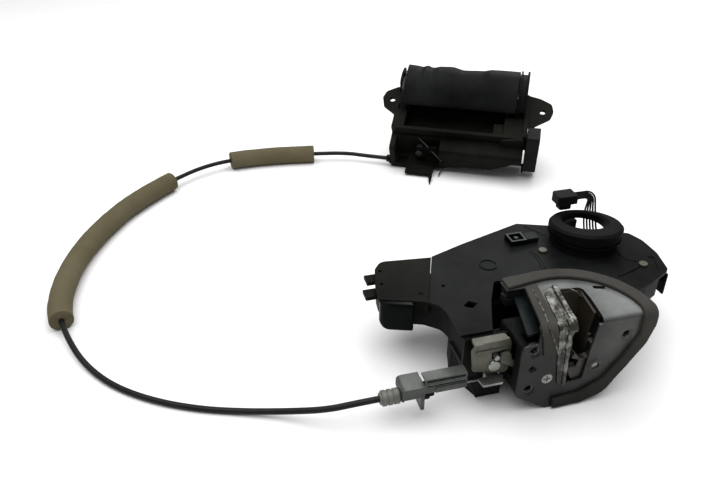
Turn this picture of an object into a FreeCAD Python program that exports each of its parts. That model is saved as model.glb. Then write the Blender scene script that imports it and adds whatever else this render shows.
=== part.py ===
import FreeCAD, Part
import math
import os

# Back-door latch set: a latch module with its housing, a cable in foam sleeves and a pull handle unit.
# Frame: origin midway between the two left fixing holes of the latch face, X to the right along the
# face, Y into the door behind it, Z up. Lengths are millimetres.

os.makedirs("parts", exist_ok=True)
Vector = FreeCAD.Vector
X_AXIS = Vector(1, 0, 0)
Y_AXIS = Vector(0, 1, 0)
Z_AXIS = Vector(0, 0, 1)

# Latch face: an L of zinc plated steel, its flange lying on top of the lock case
steel = 1.6
bend_radius = 4.0
flange_top = 35.0
face_left = -10.0
face_right = 86.0
shoulder_z = 23.0
floor_z = -37.5
flange_centre = (32.0, 4.0)
flange_radius = 55.0
hole_pitch = 34.0
hole_radius = 3.3
dish_radius = 5.4
dish_depth = 1.1
middle_hole_z = 2.0
middle_hole_radius = 2.8
far_hole = (69.0, 17.0)
thread_collar = 3.5
plate_screw_spot = (12.4, -9.4)
screw_head_radius = 4.0
screw_radius = 2.0
screw_head_height = 1.8
flange_left = 2.2

# Lock case behind the face
case_depth = 34.0

# Mouth for the striker, from the flange down to its floor
mouth_left = 26.0
mouth_right = 40.0
mouth_floor = -17.0
mouth_depth = case_depth + 5.0
mouth_floor_depth = 20.0
mouth_flare = (0.178, 0.134)
mouth_skew = 0.1
liner_wall = 1.8
lip_height = 3.2
lip_film = 1.2
running_gap = 0.3

# Claw and pawl between the face and the back plate
claw_pivot = (48.0, -5.0)
claw_thickness = 5.0
claw_radius = 20.0
claw_cam_radius = 19.0
claw_hub_radius = 13.0
claw_pin_radius = 4.5
claw_seat_distance = 14.5
claw_seat_radius = 5.8
claw_travel = 60.0
pawl_pivot = (20.0, -25.5)
pawl_pin_radius = 3.2
fit_gap = 0.05
back_plate = 1.8
case_pocket_depth = steel + 0.6 + claw_thickness + 0.6 + back_plate
pin_seat = 0.7

# Housing behind the lock case
deck_top = 20.5
deck_floor = -4.5
shell_wall = 2.2
deck_overhang = 4.0
shell_split = 7.0
lid_gap = 0.3
front_y = 22.0
case_left = face_left + 0.6
ring_centre = (99.0, 111.5)
ring_outer = 29.3
ring_bore = 17.7
ring_height = 9.0
ring_top = 38.0
ring_tilt = 8.0
outlet_spot = Vector(126.0, 118.0, 4.0)
connector_spot = Vector(99.0, 147.0, 42.0)
pigtail_radius = 0.8
pigtail_count = 5

# Child lock: a blade in a slot of the lock case
blade_level = 26.5
blade_thickness = 2.0
blade_pin_radius = 2.0

# Foam
gasket_outer = 56.0
gasket_inner = 46.0
gasket_thickness = 3.0
strip_width = 11.2
blade_pivot = (mouth_left - 13.0, flange_centre[1] + flange_radius - 7.0)

# Release side: bracket, lever and cable rail on the left of the face
bracket_front = 13.6
bracket_steel = 2.0
lever_steel = 2.5
lever_front = bracket_front + bracket_steel + running_gap
rivet = (-21.5, -1.0)
rivet_radius = 3.0
rivet_head = 4.9
finger_arm = 9.0
finger_radius = 2.0
release_travel = 24.0
wire_y = 20.2
cable_z = -18.5
lever_arm = rivet[1] - cable_z
shelf_top = -10.0
rail_left = -71.0
rail_right = -40.5
rail_top = -3.0
rail_front = 13.5
rail_low = -15.5
rail_steel = 1.6

# Cable
conduit_radius = 2.3
wire_radius = 0.9
nipple_radius = 2.2
bush_radius = 6.2
sleeve_radius = 10.0

# Handle unit, drawn level with its ears and then laid on the bench at its angle
handle_origin = Vector(111.0, 393.0, 32.5)
handle_tilt = 28.0
handle_yaw = -28.8
ear_pitch = 172.0
ear_thickness = 3.5
ear_hole_radius = 3.3
frame_left = -80.0
frame_right = 72.0
frame_low = -44.0
frame_high = 24.0
frame_thickness = 4.0
flap_centre = (15.0, 4.0)
flap_radius = 28.0
flap_wall = 3.0
flap_left = -76.0
flap_right = 57.0
flap_start = 174.0
flap_end = -6.0
flap_low = 7.0
flap_lean = 7.0
pocket_depth = 30.0
pocket_wall = 2.5
body_low = -63.5
body_front = -8.0
body_back = -46.0
flap_pin_radius = 2.2
hinge_spot = (flap_centre[0] + flap_radius - 4.0, flap_centre[1] - 2.0)
spool_right = 67.5
crank_pivot = (-46.0, -52.0)
crank_arm = 20.0
crank_level = -24.0
crank_pin_radius = 2.5
crank_back = -52.5
crank_steel = 4.0
gland_y = -57.0
gland_z = -39.0


# Drawing helpers

def at(plane, u, w, level):
    if plane == "XY":
        return Vector(u, w, level)
    if plane == "XZ":
        return Vector(u, level, w)
    return Vector(level, u, w)


def normal_of(plane):
    return {"XY": Z_AXIS, "XZ": Y_AXIS, "YZ": X_AXIS}[plane]


def outline(plane, level, corners):
    """A flat face whose corners (u, w, radius) are rounded by tangent arcs."""
    count = len(corners)
    spots = []
    for index in range(count):
        before = corners[index - 1]
        here = corners[index]
        after = corners[(index + 1) % count]
        radius = here[2] if len(here) > 2 else 0.0
        back = (before[0] - here[0], before[1] - here[1])
        ahead = (after[0] - here[0], after[1] - here[1])
        back_length = math.hypot(*back)
        ahead_length = math.hypot(*ahead)
        back = (back[0] / back_length, back[1] / back_length)
        ahead = (ahead[0] / ahead_length, ahead[1] / ahead_length)
        inner = math.acos(max(-1.0, min(1.0, back[0] * ahead[0] + back[1] * ahead[1])))
        if radius <= 0 or inner > math.radians(179):
            spots.append([(here[0], here[1])])
            continue
        reach = min(radius / math.tan(inner / 2), 0.48 * back_length, 0.48 * ahead_length)
        radius = reach * math.tan(inner / 2)
        middle = (back[0] + ahead[0], back[1] + ahead[1])
        size = math.hypot(*middle)
        centre = radius / math.sin(inner / 2)
        middle = (middle[0] / size, middle[1] / size)
        spots.append([
            (here[0] + back[0] * reach, here[1] + back[1] * reach),
            (here[0] + middle[0] * (centre - radius), here[1] + middle[1] * (centre - radius)),
            (here[0] + ahead[0] * reach, here[1] + ahead[1] * reach),
        ])
    edges = []
    for index in range(count):
        spot = [at(plane, p[0], p[1], level) for p in spots[index]]
        following = spots[(index + 1) % count][0]
        if len(spot) == 3:
            edges.append(Part.Arc(spot[0], spot[1], spot[2]).toShape())
        start = spot[-1]
        end = at(plane, following[0], following[1], level)
        if start.distanceToPoint(end) > 1e-6:
            edges.append(Part.LineSegment(start, end).toShape())
    return Part.Face(Part.Wire(edges))


def slab(plane, low, high, corners):
    return outline(plane, low, corners).extrude(normal_of(plane) * (high - low))


def block(x0, x1, y0, y1, z0, z1):
    return Part.makeBox(x1 - x0, y1 - y0, z1 - z0, Vector(x0, y0, z0))


def rod(start, axis, radius, length):
    return Part.makeCylinder(radius, length, start, axis)


def pipe(start, axis, outer, inner, length):
    return rod(start, axis, outer, length).cut(rod(start, axis, inner, length))


def cone(start, axis, r0, r1, length):
    return Part.makeCone(r0, r1, length, start, axis)


def sector(plane, centre, radius, first, last, low, high):
    """A slice of a disc, from one angle to the other in degrees."""
    def spot(angle):
        turn = math.radians(angle)
        return at(plane, centre[0] + radius * math.cos(turn), centre[1] + radius * math.sin(turn), low)
    middle = at(plane, centre[0], centre[1], low)
    arc = Part.Arc(spot(first), spot((first + last) / 2), spot(last)).toShape()
    lines = [Part.LineSegment(middle, spot(first)).toShape(), arc,
             Part.LineSegment(spot(last), middle).toShape()]
    return Part.Face(Part.Wire(lines)).extrude(normal_of(plane) * (high - low))


def polar(centre, radius, angle):
    turn = math.radians(angle)
    return (centre[0] + radius * math.cos(turn), centre[1] + radius * math.sin(turn))


def coil(start, mean_radius, wire, turns):
    """A close wound spring along X, turned as one ridged sleeve."""
    inner = mean_radius - wire
    outer = mean_radius + wire
    corners = [(0, inner)]
    for turn in range(turns):
        corners.append((2 * wire * turn, mean_radius))
        corners.append((2 * wire * (turn + 0.5), outer))
    corners.append((2 * wire * turns, mean_radius))
    corners.append((2 * wire * turns, inner))
    spots = [start + Vector(run, 0, radius) for run, radius in corners]
    return Part.Face(Part.makePolygon(spots + spots[:1])).revolve(start, X_AXIS, 360)


def join(first, *others):
    return first.fuse(list(others)).removeSplitter()


def save(name, shape):
    shape.exportStep("parts/" + name + ".step")


# Latch face

def l_profile(offset, thickness, x0, x1):
    """The bent L between two skins, its outer skin at offset in front of the steel."""
    outer = bend_radius + offset
    inner = outer - thickness
    y0 = -offset
    z1 = flange_top + offset
    centre = (bend_radius, flange_top - bend_radius)
    far = 75.0

    def spot(radius, angle):
        u, w = polar(centre, radius, angle)
        return Vector(x0, u, w)
    points = [Vector(x0, y0, floor_z - 1), spot(outer, 180), spot(outer, 90), Vector(x0, far, z1),
              Vector(x0, far, z1 - thickness), spot(inner, 90), spot(inner, 180),
              Vector(x0, y0 + thickness, floor_z - 1)]
    edges = [Part.LineSegment(points[0], points[1]).toShape(),
             Part.Arc(points[1], spot(outer, 135), points[2]).toShape(),
             Part.LineSegment(points[2], points[3]).toShape(),
             Part.LineSegment(points[3], points[4]).toShape(),
             Part.LineSegment(points[4], points[5]).toShape(),
             Part.Arc(points[5], spot(inner, 135), points[6]).toShape(),
             Part.LineSegment(points[6], points[7]).toShape(),
             Part.LineSegment(points[7], points[0]).toShape()]
    return Part.Face(Part.Wire(edges)).extrude(X_AXIS * (x1 - x0))


def face_corners(top):
    """The outline of the face from the shoulder round to the toe."""
    toe_x = 15.0
    return [(face_left, -20.0, 3), (face_left, shoulder_z, 8), (flange_left - 0.8, shoulder_z, 2),
            (flange_left, top, 0), (face_right, top, 0), (face_right, 18, 9), (53.5, -30.5, 12),
            (36, -35.4, 8),
            (toe_x, floor_z, 3), (-6.5, -23, 3)]


def flange_region(radius, grow, z0, z1):
    """The footprint of the flange: a round lobe with a straight tail at its left end."""
    disc = rod(Vector(flange_centre[0], flange_centre[1], z0), Z_AXIS, radius, z1 - z0)
    lobe = disc.common(slab("XY", z0, z1, [
        (flange_left - grow, -9), (flange_left + 10 - grow, 46), (flange_left + 10 - grow, 70),
        (95, 70), (95, -9)]))
    tail = slab("XY", z0, z1, [(30, 46 - grow), (30, 58 + grow), (-1 - grow, 57 + grow),
                               (-1 - grow, 46 - grow)])
    return lobe.fuse(tail)


def mouth_slot():
    """The slot in the face and its run over the flange."""
    front = slab("XZ", -8, bend_radius + 1, [
        (mouth_left, mouth_floor, 4), (mouth_right, mouth_floor, 4), (mouth_right + 2, 10, 6),
        (mouth_right + 6.5, flange_top + 8, 0), (mouth_left + 1, flange_top + 8, 0),
        (mouth_left - 1.5, 26, 8)])
    top = slab("XY", flange_top - bend_radius, flange_top + 8, [
        (mouth_left + 1, -8), (mouth_left + 8, mouth_depth, 3), (mouth_right + 11.5, mouth_depth - 2.5, 4),
        (mouth_right + 11, 23, 5), (mouth_right + 6.5, -8)])
    return front.fuse(top)


def fixing_spots():
    half = hole_pitch / 2
    return [(0.0, half), (0.0, -half), far_hole]


def make_face_plate():
    body = l_profile(0.0, steel, face_left - 5, face_right + 15)
    front = slab("XZ", -1, bend_radius + 0.2, face_corners(flange_top + 1))
    top = flange_region(flange_radius, 0, flange_top - bend_radius - 0.2, flange_top + 1)
    plate = body.common(front.fuse(top)).cut(mouth_slot())
    for x, z in fixing_spots():
        start = Vector(x, -0.1, z)
        plate = plate.cut(rod(start, Y_AXIS, hole_radius, steel + 0.2))
        plate = plate.cut(cone(start, Y_AXIS, dish_radius, hole_radius, dish_depth + 0.1))
        collar = pipe(Vector(x, steel, z), Y_AXIS, hole_radius + 1.4, hole_radius, thread_collar)
        plate = plate.fuse(collar)
    plate = plate.cut(rod(Vector(0, -1, middle_hole_z), Y_AXIS, middle_hole_radius, steel + 2))
    plate = plate.cut(cone(Vector(plate_screw_spot[0], 0, plate_screw_spot[1]), Y_AXIS,
                           screw_head_radius + 0.1, screw_radius + 0.1, screw_head_height))
    plate = plate.cut(rod(Vector(plate_screw_spot[0], -1, plate_screw_spot[1]), Y_AXIS, screw_radius + 0.1, 5))
    plate = plate.cut(flange_slot())
    boss = cone(Vector(claw_pivot[0], 0, claw_pivot[1]), Y_AXIS * -1, 6.5, 4.5, 1.2)
    boss = boss.cut(rod(Vector(claw_pivot[0], -2, claw_pivot[1]), Y_AXIS, claw_pin_radius - 1.5, 3))
    plate = plate.cut(rod(Vector(claw_pivot[0], -2, claw_pivot[1]), Y_AXIS, claw_pin_radius - 1.5, 5))
    plate = plate.cut(rod(Vector(pawl_pivot[0], pin_seat, pawl_pivot[1]), Y_AXIS, pawl_pin_radius - 1 + fit_gap, 5))
    return join(plate, boss)


def flange_slot():
    """Oblong slot in the flange, just inside the gasket."""
    spot = polar(flange_centre, gasket_inner - 3.0, 43)
    slot = block(-4.2, 4.2, -1.8, 1.8, flange_top - 5, flange_top + 5)
    slot.rotate(Vector(0, 0, 0), Z_AXIS, -20)
    slot.translate(Vector(spot[0], spot[1], 0))
    return slot


def case_pocket(grow, y0, y1):
    """The chamber of the claw and the pawl, seen from the front."""
    return slab("XZ", y0, y1, [
        (13.5 - grow, -33 - grow, 3), (13.5 - grow, -18.5 + grow, 2), (25 - grow, -17.5 + grow, 2),
        (25 - grow, 17 + grow, 2), (66 + grow, 17 + grow, 4), (66 + grow, -9 - grow, 8),
        (51 + grow, -29.5 - grow, 6), (38, -33 - grow, 3)])


def funnel(inset, y_front):
    """The hollow behind the mouth, narrowing to its floor between flat walls."""
    levels = [(mouth_floor + inset, mouth_left, mouth_right, mouth_floor_depth),
              (flange_top + 1, mouth_left + 1, mouth_right + 7, mouth_depth + 1)]
    wires = []
    for level, left, right, depth in levels:
        back = depth - inset
        near_left = left + inset
        near_right = right - inset
        far_left = near_left + mouth_flare[0] * (back - y_front)
        far_right = near_right + mouth_flare[1] * (back - y_front)
        corners = [(near_left, y_front), (near_right, y_front),
                   (far_right, back - mouth_skew * (far_right - far_left)), (far_left, back)]
        wires.append(Part.makePolygon([Vector(p[0], p[1], level) for p in corners + corners[:1]]))
    return Part.makeLoft(wires, True, True)


def make_latch_body():
    lower = outline("XZ", steel, face_corners(deck_top + 5)).makeOffset2D(-0.6).extrude(Y_AXIS * (case_depth - steel))
    lower = lower.cut(block(-60, 120, -5, 80, deck_top, 60))
    upper = flange_region(flange_radius - 0.8, -0.8, deck_top, flange_top - steel)
    upper = upper.cut(block(-60, 120, -20, steel + bend_radius, flange_top - bend_radius - steel, 60))
    upper = upper.cut(block(-60, 120, -20, steel, deck_top - 1, 60))
    body = lower.fuse(upper)
    body = body.cut(case_pocket(0, steel - 1, case_pocket_depth))
    body = body.cut(funnel(0, steel - 1))
    for x, z in fixing_spots():
        body = body.cut(rod(Vector(x, 0, z), Y_AXIS, hole_radius + 1.6, 16))
    body = body.cut(rod(Vector(0, 0, middle_hole_z), Y_AXIS, middle_hole_radius + 0.2, 16))
    body = body.cut(rod(Vector(plate_screw_spot[0], 0, plate_screw_spot[1]), Y_AXIS, screw_radius, 16))
    body = body.cut(rod(Vector(plate_screw_spot[0], 0, plate_screw_spot[1]), Y_AXIS, screw_radius + 0.3, steel + 0.8))
    body = body.cut(release_slot())
    body = body.cut(blade_groove())
    return body.removeSplitter()


def release_slot():
    """Room behind the chamber for the pawl's lever and, to its left, for its arm."""
    y0 = case_pocket_depth
    y1 = y0 + 0.3 + lever_steel + 4
    room = slab("XZ", y0 - 0.5, y1, [
        (-40, -12), (-40, 18), (-2, 18, 2), (-1, 10, 3), (28, -14, 3), (31, -26, 5), (26, -34, 4),
        (14, -34, 4),
        (11, -26, 4), (-2, -12, 3)])
    return room.cut(rod(Vector(0, 0, -hole_pitch / 2), Y_AXIS, hole_radius + 2.2, 40))


def blade_groove():
    """Slot in the lock case above the deck that the blade lever lies and swings in."""
    z0 = blade_level - 0.5
    z1 = blade_level + blade_thickness + 0.5
    return slab("XY", z0, z1, [(19, 58), (7, 61), (-8, 61), (-30, 0), (-14, -4), (8.5, -4), (11, 20),
                               (20, 50)])


def make_back_plate():
    y0 = case_pocket_depth - back_plate
    plate = case_pocket(-running_gap, y0, case_pocket_depth)
    plate = plate.cut(slab("XZ", y0 - 1, y0 + 5, [
        (mouth_left - 1, mouth_floor), (mouth_right + 1, mouth_floor), (mouth_right + 3, 10),
        (mouth_right + 6, 30), (mouth_left - 3, 30)]))
    for centre, radius in ((claw_pivot, claw_pin_radius - 1.5), (pawl_pivot, pawl_pin_radius - 1)):
        plate = plate.cut(rod(Vector(centre[0], y0 - 1, centre[1]), Y_AXIS, radius + fit_gap, 6))
    return plate


def claw_y():
    return steel + 0.6


def make_claw():
    y0 = claw_y()
    y1 = y0 + claw_thickness
    hub = rod(Vector(claw_pivot[0], y0, claw_pivot[1]), Y_AXIS, claw_hub_radius, claw_thickness)
    upper = sector("XZ", claw_pivot, claw_radius, 118, 170, y0, y1)
    lower = sector("XZ", claw_pivot, claw_radius, 195, 216, y0, y1)
    cam = sector("XZ", claw_pivot, claw_cam_radius, 240, 292, y0, y1)
    body = join(hub, upper, lower, cam)
    seat = polar(claw_pivot, claw_seat_distance, 184)
    end = polar(claw_pivot, claw_radius + 12, 184)
    turn = math.radians(184)
    side = (-math.sin(turn) * claw_seat_radius, math.cos(turn) * claw_seat_radius)
    throat = slab("XZ", y0 - 1, y1 + 1, [
        (seat[0] + side[0], seat[1] + side[1]), (end[0] + side[0] * 1.15, end[1] + side[1] * 1.15),
        (end[0] - side[0] * 1.15, end[1] - side[1] * 1.15), (seat[0] - side[0], seat[1] - side[1])])
    throat = throat.fuse(rod(Vector(seat[0], y0 - 1, seat[1]), Y_AXIS, claw_seat_radius, claw_thickness + 2))
    body = body.cut(throat)
    bore = rod(Vector(claw_pivot[0], y0 - 1, claw_pivot[1]), Y_AXIS, claw_pin_radius + fit_gap, claw_thickness + 2)
    body = body.cut(bore)
    # drawn latched, shown open
    body.rotate(Vector(claw_pivot[0], 0, claw_pivot[1]), Y_AXIS, claw_travel)
    return body


def make_pin(pivot, radius, y_start, y_end):
    """Shouldered rivet pin: ends in the two plates, shoulder carrying the moving piece."""
    y0 = steel + 0.1
    y1 = case_pocket_depth - back_plate - 0.1
    spot = Vector(pivot[0], y0, pivot[1])
    step = 1.5 if radius > 4 else 1.0
    shoulder = rod(spot, Y_AXIS, radius, y1 - y0)
    ends = rod(Vector(pivot[0], y_start, pivot[1]), Y_AXIS, radius - step, y_end - y_start)
    return join(shoulder, ends)


def make_pawl():
    y0 = claw_y()
    body = slab("XZ", y0, y0 + claw_thickness, [
        (15.2, -22.5, 4), (20, -20.2, 3), (31, -19.6, 0), (35, -20.5, 0), (38.0, -22.6, 0.8),
        (37.5, -26, 1.5),
        (29, -28, 3), (20, -31.2, 5), (15, -29, 4)])
    bore = rod(Vector(pawl_pivot[0], y0 - 1, pawl_pivot[1]), Y_AXIS, pawl_pin_radius + fit_gap, claw_thickness + 2)
    return body.cut(bore)


def make_mouth_liner():
    y_front = case_pocket_depth + 0.4
    shell = funnel(0, steel - 1).cut(funnel(liner_wall, steel - 1))
    shell = shell.common(block(0, 80, y_front, 60, mouth_floor, flange_top - steel - 0.2))
    return shell


def make_mouth_bumper():
    """Rubber stop on the liner's floor that the striker lands on."""
    y0 = case_pocket_depth + 0.6
    z0 = mouth_floor + liner_wall
    y1 = mouth_floor_depth - liner_wall - 1.5
    z1 = z0 + 4.5
    left = mouth_left + liner_wall + mouth_flare[0] * mouth_floor_depth + running_gap
    right = mouth_right - liner_wall - running_gap
    return slab("YZ", left, right, [(y0, z0, 1), (y0, z1, 2), (y1, z1, 2), (y1, z0, 1)])


def make_mouth_lip():
    """Bright film along the left side of the mouth, with a raised edge."""
    film = l_profile(lip_film, lip_film, 0, 60)
    ridge = l_profile(lip_height, lip_height, 0, 60)
    z1 = flange_top + 9
    low = mouth_floor + 2
    front = slab("XZ", -8, bend_radius + 0.2, [
        (mouth_left - 0.6, low, 0), (mouth_left - 2.1, 26, 8), (mouth_left + 0.4, z1, 0),
        (mouth_left - 11.4, z1, 0), (mouth_left - 11.4, flange_top - 6, 0), (mouth_left - 6.2, low, 0)])
    edge = slab("XZ", -8, bend_radius + 0.2, [
        (mouth_left - 0.6, low, 0), (mouth_left - 2.1, 26, 8), (mouth_left + 0.4, z1, 0),
        (mouth_left - 4.0, z1, 0), (mouth_left - 6.0, 26, 8), (mouth_left - 3.0, low, 0)])
    z0 = flange_top - bend_radius
    top = slab("XY", z0, z1, [
        (mouth_left + 0.4, -8), (mouth_left + 7.4, mouth_depth + 1, 0),
        (mouth_left + 2.4, mouth_depth + 2, 0),
        (mouth_left - 4, mouth_depth - 4, 0), (mouth_left - 11.4, 1, 0), (mouth_left - 11.4, -8)])
    top_edge = slab("XY", z0, z1, [
        (mouth_left + 0.4, -8), (mouth_left + 7.4, mouth_depth + 1, 0),
        (mouth_left + 4.4, mouth_depth + 2, 0),
        (mouth_left - 4.0, -8)])
    return join(film.common(front.fuse(top)), ridge.common(edge.fuse(top_edge)))


def make_foam_strip():
    skin = l_profile(2.0, 2.0, 0, 60)
    left = flange_left + 0.3
    right = left + strip_width
    z1 = flange_top + 9
    front = slab("XZ", -8, bend_radius + 0.2, [
        (left, z1), (right, z1), (right, flange_top), (right + 2.0, 12, 2), (left + 3.5, 12, 2),
        (left, flange_top)])
    top = slab("XY", flange_top - bend_radius, z1, [
        (left, -8), (left, 0), (left + 9.5, 45.5), (right + 8, 45.5), (right, 0), (right, -8)])
    return skin.common(front.fuse(top)).removeSplitter()


def make_gasket():
    skin = l_profile(gasket_thickness, gasket_thickness, 0, face_right + 15)
    cx, cy = flange_centre
    z0 = flange_top - bend_radius - 0.2
    z1 = flange_top + 9
    ring = pipe(Vector(cx, cy, z0), Z_AXIS, gasket_outer, gasket_inner, z1 - z0)
    ring = ring.common(block(26, 100, -9, 80, z0, z1))
    tail = slab("XY", z0, z1, [(26.5, 49.8), (26.5, 59.8), (-1, 57.8), (-1, 46)])
    front = slab("XZ", -9, bend_radius + 0.2, [
        (77.5, z1), (cx + gasket_outer, z1), (cx + gasket_outer, 24, 12), (84, 9.5, 12), (58, -30.5, 14),
        (41, -36, 12), (18.5, -36.4, 1), (18.5, -28.5, 1), (40, -26.5, 10), (55, -18.5, 8), (68, 0, 8),
        (77.5, 17, 10)])
    band = skin.common(join(ring, tail, front))
    return band.removeSplitter()


# Release side

def make_lever_bracket():
    """Folded carrier in front of the release lever, with an arc slot for the lever's finger."""
    y0 = bracket_front
    y1 = y0 + bracket_steel
    plate = slab("XZ", y0, y1, [
        (-37, -3.5, 2), (-39, 14, 3), (-36, 19, 1), (-12, 21, 1), (-10.5, 16, 2), (-10.5, -6.5, 3),
        (-13, -9.2, 2)])
    fold = slab("XY", 17.2, 19.2, [(-37, y0), (-37, front_y - 0.4, 2), (-12, front_y - 0.4, 2), (-12, y0)])
    bead = block(-36, -13, y0 - 0.9, y0, 12.5, 14)
    turn = math.radians(release_travel)
    room = finger_radius + 0.6
    slot = block(rivet[0] - room, rivet[0] + finger_arm * math.sin(turn) + room, y0 - 1, y1 + 1,
                 rivet[1] + finger_arm * math.cos(turn) - room, rivet[1] + finger_arm + room)
    plate = join(plate, fold, bead).cut(slot)
    return plate.cut(rod(Vector(rivet[0], y0 - 8, rivet[1]), Y_AXIS, rivet_radius + fit_gap, 20))


def make_release_lever():
    """Plate behind its bracket, with a slot for the wire's nipple, a finger and a bent foot."""
    y0 = lever_front
    y1 = y0 + lever_steel
    x, z = rivet
    low = cable_z - 3.2
    plate = slab("XZ", y0, y1, [
        (x - 4.0, z + finger_arm + 3, 2.5), (x + 4.0, z + finger_arm + 3, 2.5), (x + 6.5, z, 4),
        (x + 5.2, low, 2), (x - 5.2, low, 2), (x - 6.5, z, 4)])
    room = nipple_radius + 0.3
    slot_end = lever_arm / math.cos(math.radians(release_travel))
    slot = slab("XZ", y0 - 1, y1 + 1, [
        (x - room, z - lever_arm + room, nipple_radius), (x + room, z - lever_arm + room, nipple_radius),
        (x + room, z - slot_end - room, nipple_radius), (x - room, z - slot_end - room, nipple_radius)])
    plate = plate.cut(slot)
    plate = plate.cut(rod(Vector(x, y0 - 1, z), Y_AXIS, rivet_radius + fit_gap, 6))
    neck = block(x - 4.5, x + 4.5, bracket_front - 1.5, y0 + 0.5, shelf_top - 1.8, shelf_top)
    shelf = slab("XY", shelf_top - 1.8, shelf_top, [
        (x - 11.5, bracket_front - running_gap, 1), (x - 10.5, 5.5, 1.5), (x + 4.5, 5.5, 1.5),
        (x + 7.5, bracket_front - running_gap, 1)])
    finger_tip = case_pocket_depth + 0.6
    finger = rod(Vector(x, finger_tip, z + finger_arm), Y_AXIS, finger_radius, y0 - finger_tip)
    return join(plate, neck, shelf, finger)


def make_lever_rivet():
    y_front = bracket_front - 0.1
    spot = Vector(rivet[0], y_front, rivet[1])
    shank = rod(spot, Y_AXIS, rivet_radius, front_y + 2.8 - y_front)
    head = cone(spot, Y_AXIS * -1, rivet_head, rivet_head - 0.6, 1.4)
    lever_back = lever_front + lever_steel
    spacer = rod(Vector(rivet[0], lever_back + running_gap, rivet[1]), Y_AXIS, rivet_radius + 1.5,
                 front_y - 0.1 - lever_back - running_gap)
    return join(shank, head, spacer)


def make_pawl_lever():
    """Arm on the pawl's pin, behind the back plate, that the release lever pushes."""
    y0 = case_pocket_depth + 0.3
    left = rivet[0] + finger_radius + 0.6
    arm = slab("XZ", y0, y0 + lever_steel, [
        (left, 4, 1), (left, 11, 2), (left + 6.9, 11, 2), (left + 8.4, 4, 4), (18, -18, 4),
        (26, -24, 3), (24, -31, 4),
        (15.5, -30, 4), (13.5, -21, 4), (4, -11, 4)])
    return arm.cut(rod(Vector(pawl_pivot[0], y0 - 1, pawl_pivot[1]), Y_AXIS, pawl_pin_radius - 1 + fit_gap, 6))


def make_cable_rail():
    """Channel open to the back, from the cable bracket to the housing, with beads along its front."""
    y0 = rail_front
    y1 = front_y - 0.1
    front = slab("XZ", y0, y0 + rail_steel, [
        (rail_left, rail_top, 1), (rail_right, rail_top, 1), (rail_right, rail_low, 1),
        (rail_left, rail_low, 1)])
    top = block(rail_left, rail_right, y0, y1, rail_top - rail_steel, rail_top)
    lip = block(rail_left, rail_right, y0, y0 + 4, rail_low, rail_low + rail_steel)
    bead = block(rail_left + 2, rail_right - 1, y0 - 0.8, y0, rail_top - 4.2, rail_top - 2.6)
    band = block(rail_left + 8, rail_right, y0 - 0.6, y0, rail_low, rail_low + 4.5)
    body = join(front, top, lip, bead, band)
    return body.cut(rod(Vector(rail_left - 1, wire_y, cable_z), X_AXIS, bush_radius + 0.7, 12))


def make_cable_bracket():
    """Folded cap over the ferrule, with a leg in front of the cable and a cheek behind it."""
    top = rail_top - 5.0
    left = rail_left - 16.0
    y0 = rail_front - 1.2
    y1 = y0 + 16.0
    wall = 1.8
    right = rail_left - 0.1
    head = slab("XZ", y0, y1, [(left, top, 3), (right, top, 1), (right, top - 9, 1), (left, top - 9, 1)])
    hollow = block(left + wall, right - wall - 0.7, y0 + wall, y1 + 0.2, top - 10, top - wall)
    leg = block(right - wall - 0.7, right, y0, wire_y + 3, -28.5, top)
    leg = leg.cut(rod(Vector(left - 10, wire_y, cable_z), X_AXIS, 3.2, 40))
    cheek = block(left, left + wall, y0 + 1, wire_y + 6, -24.5, top - 4)
    cheek = cheek.cut(rod(Vector(left - 10, wire_y, cable_z), X_AXIS, 4.4, 20))
    head = head.cut(hollow).cut(rod(Vector(left - 10, wire_y, cable_z), X_AXIS, 4.4, 24.5))
    return join(head, leg, cheek).cut(rod(Vector(left - 10, wire_y, cable_z), X_AXIS, 3.2, 60))


def make_ferrule():
    stop = rail_left - 3.2
    spot = Vector(cable_points[0].x, wire_y, cable_z)
    body = rod(spot, X_AXIS, 4.2, stop - spot.x)
    grip = rod(spot + X_AXIS * 1.5, X_AXIS, 5.6, rail_left - 16.4 - spot.x - 1.5)
    for index in range(2):
        grip = grip.cut(pipe(spot + X_AXIS * (4.5 + 4.0 * index), X_AXIS, 6.5, 4.9, 1.2))
    body = body.fuse(grip)
    neck = rod(Vector(stop - 1, wire_y, cable_z), X_AXIS, 3.1, 4.2)
    return join(body, neck).cut(rod(spot, X_AXIS, wire_radius + 0.4, 60))


def make_bush():
    """Stepped rubber bush between the bracket's leg and the free wire."""
    start = rail_left + 0.1
    body = rod(Vector(start, wire_y, cable_z), X_AXIS, bush_radius, 4.4)
    body = join(body, rod(Vector(start + 4.4, wire_y, cable_z), X_AXIS, bush_radius - 1.4, 3.6),
                rod(Vector(start + 8, wire_y, cable_z), X_AXIS, 2.8, 4.0))
    return body.cut(rod(Vector(start - 5, wire_y, cable_z), X_AXIS, wire_radius + 0.4, 60))


def make_inner_wire():
    left = rail_left - 17
    wire = rod(Vector(left, wire_y, cable_z), X_AXIS, wire_radius, rivet[0] - left)
    start = lever_front + 0.2
    nipple = rod(Vector(rivet[0], start, cable_z), Y_AXIS, nipple_radius, front_y - 0.5 - start)
    return join(wire, nipple)


# Housing

def housing_corners():
    return [(-43, 25, 1), (-43, 50, 0), (-45, 60, 8), (-54, 68, 3), (-85, 79, 5), (-83.5, 92, 3),
            (-77, 117, 8),
            (-70, 126, 8), (-29, 121.5, 2), (2, 133, 2), (95, 163, 6), (104, 157, 4), (103, 128, 8),
            (112, 114, 8),
            (128, 108, 8), (141, 117, 5), (147, 100, 12), (147, 80, 12), (141, 57, 8), (120, 46, 6),
            (92, case_depth + 0.4, 3), (-9, case_depth + 0.4, 1), (-9, 25, 1)]


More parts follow.
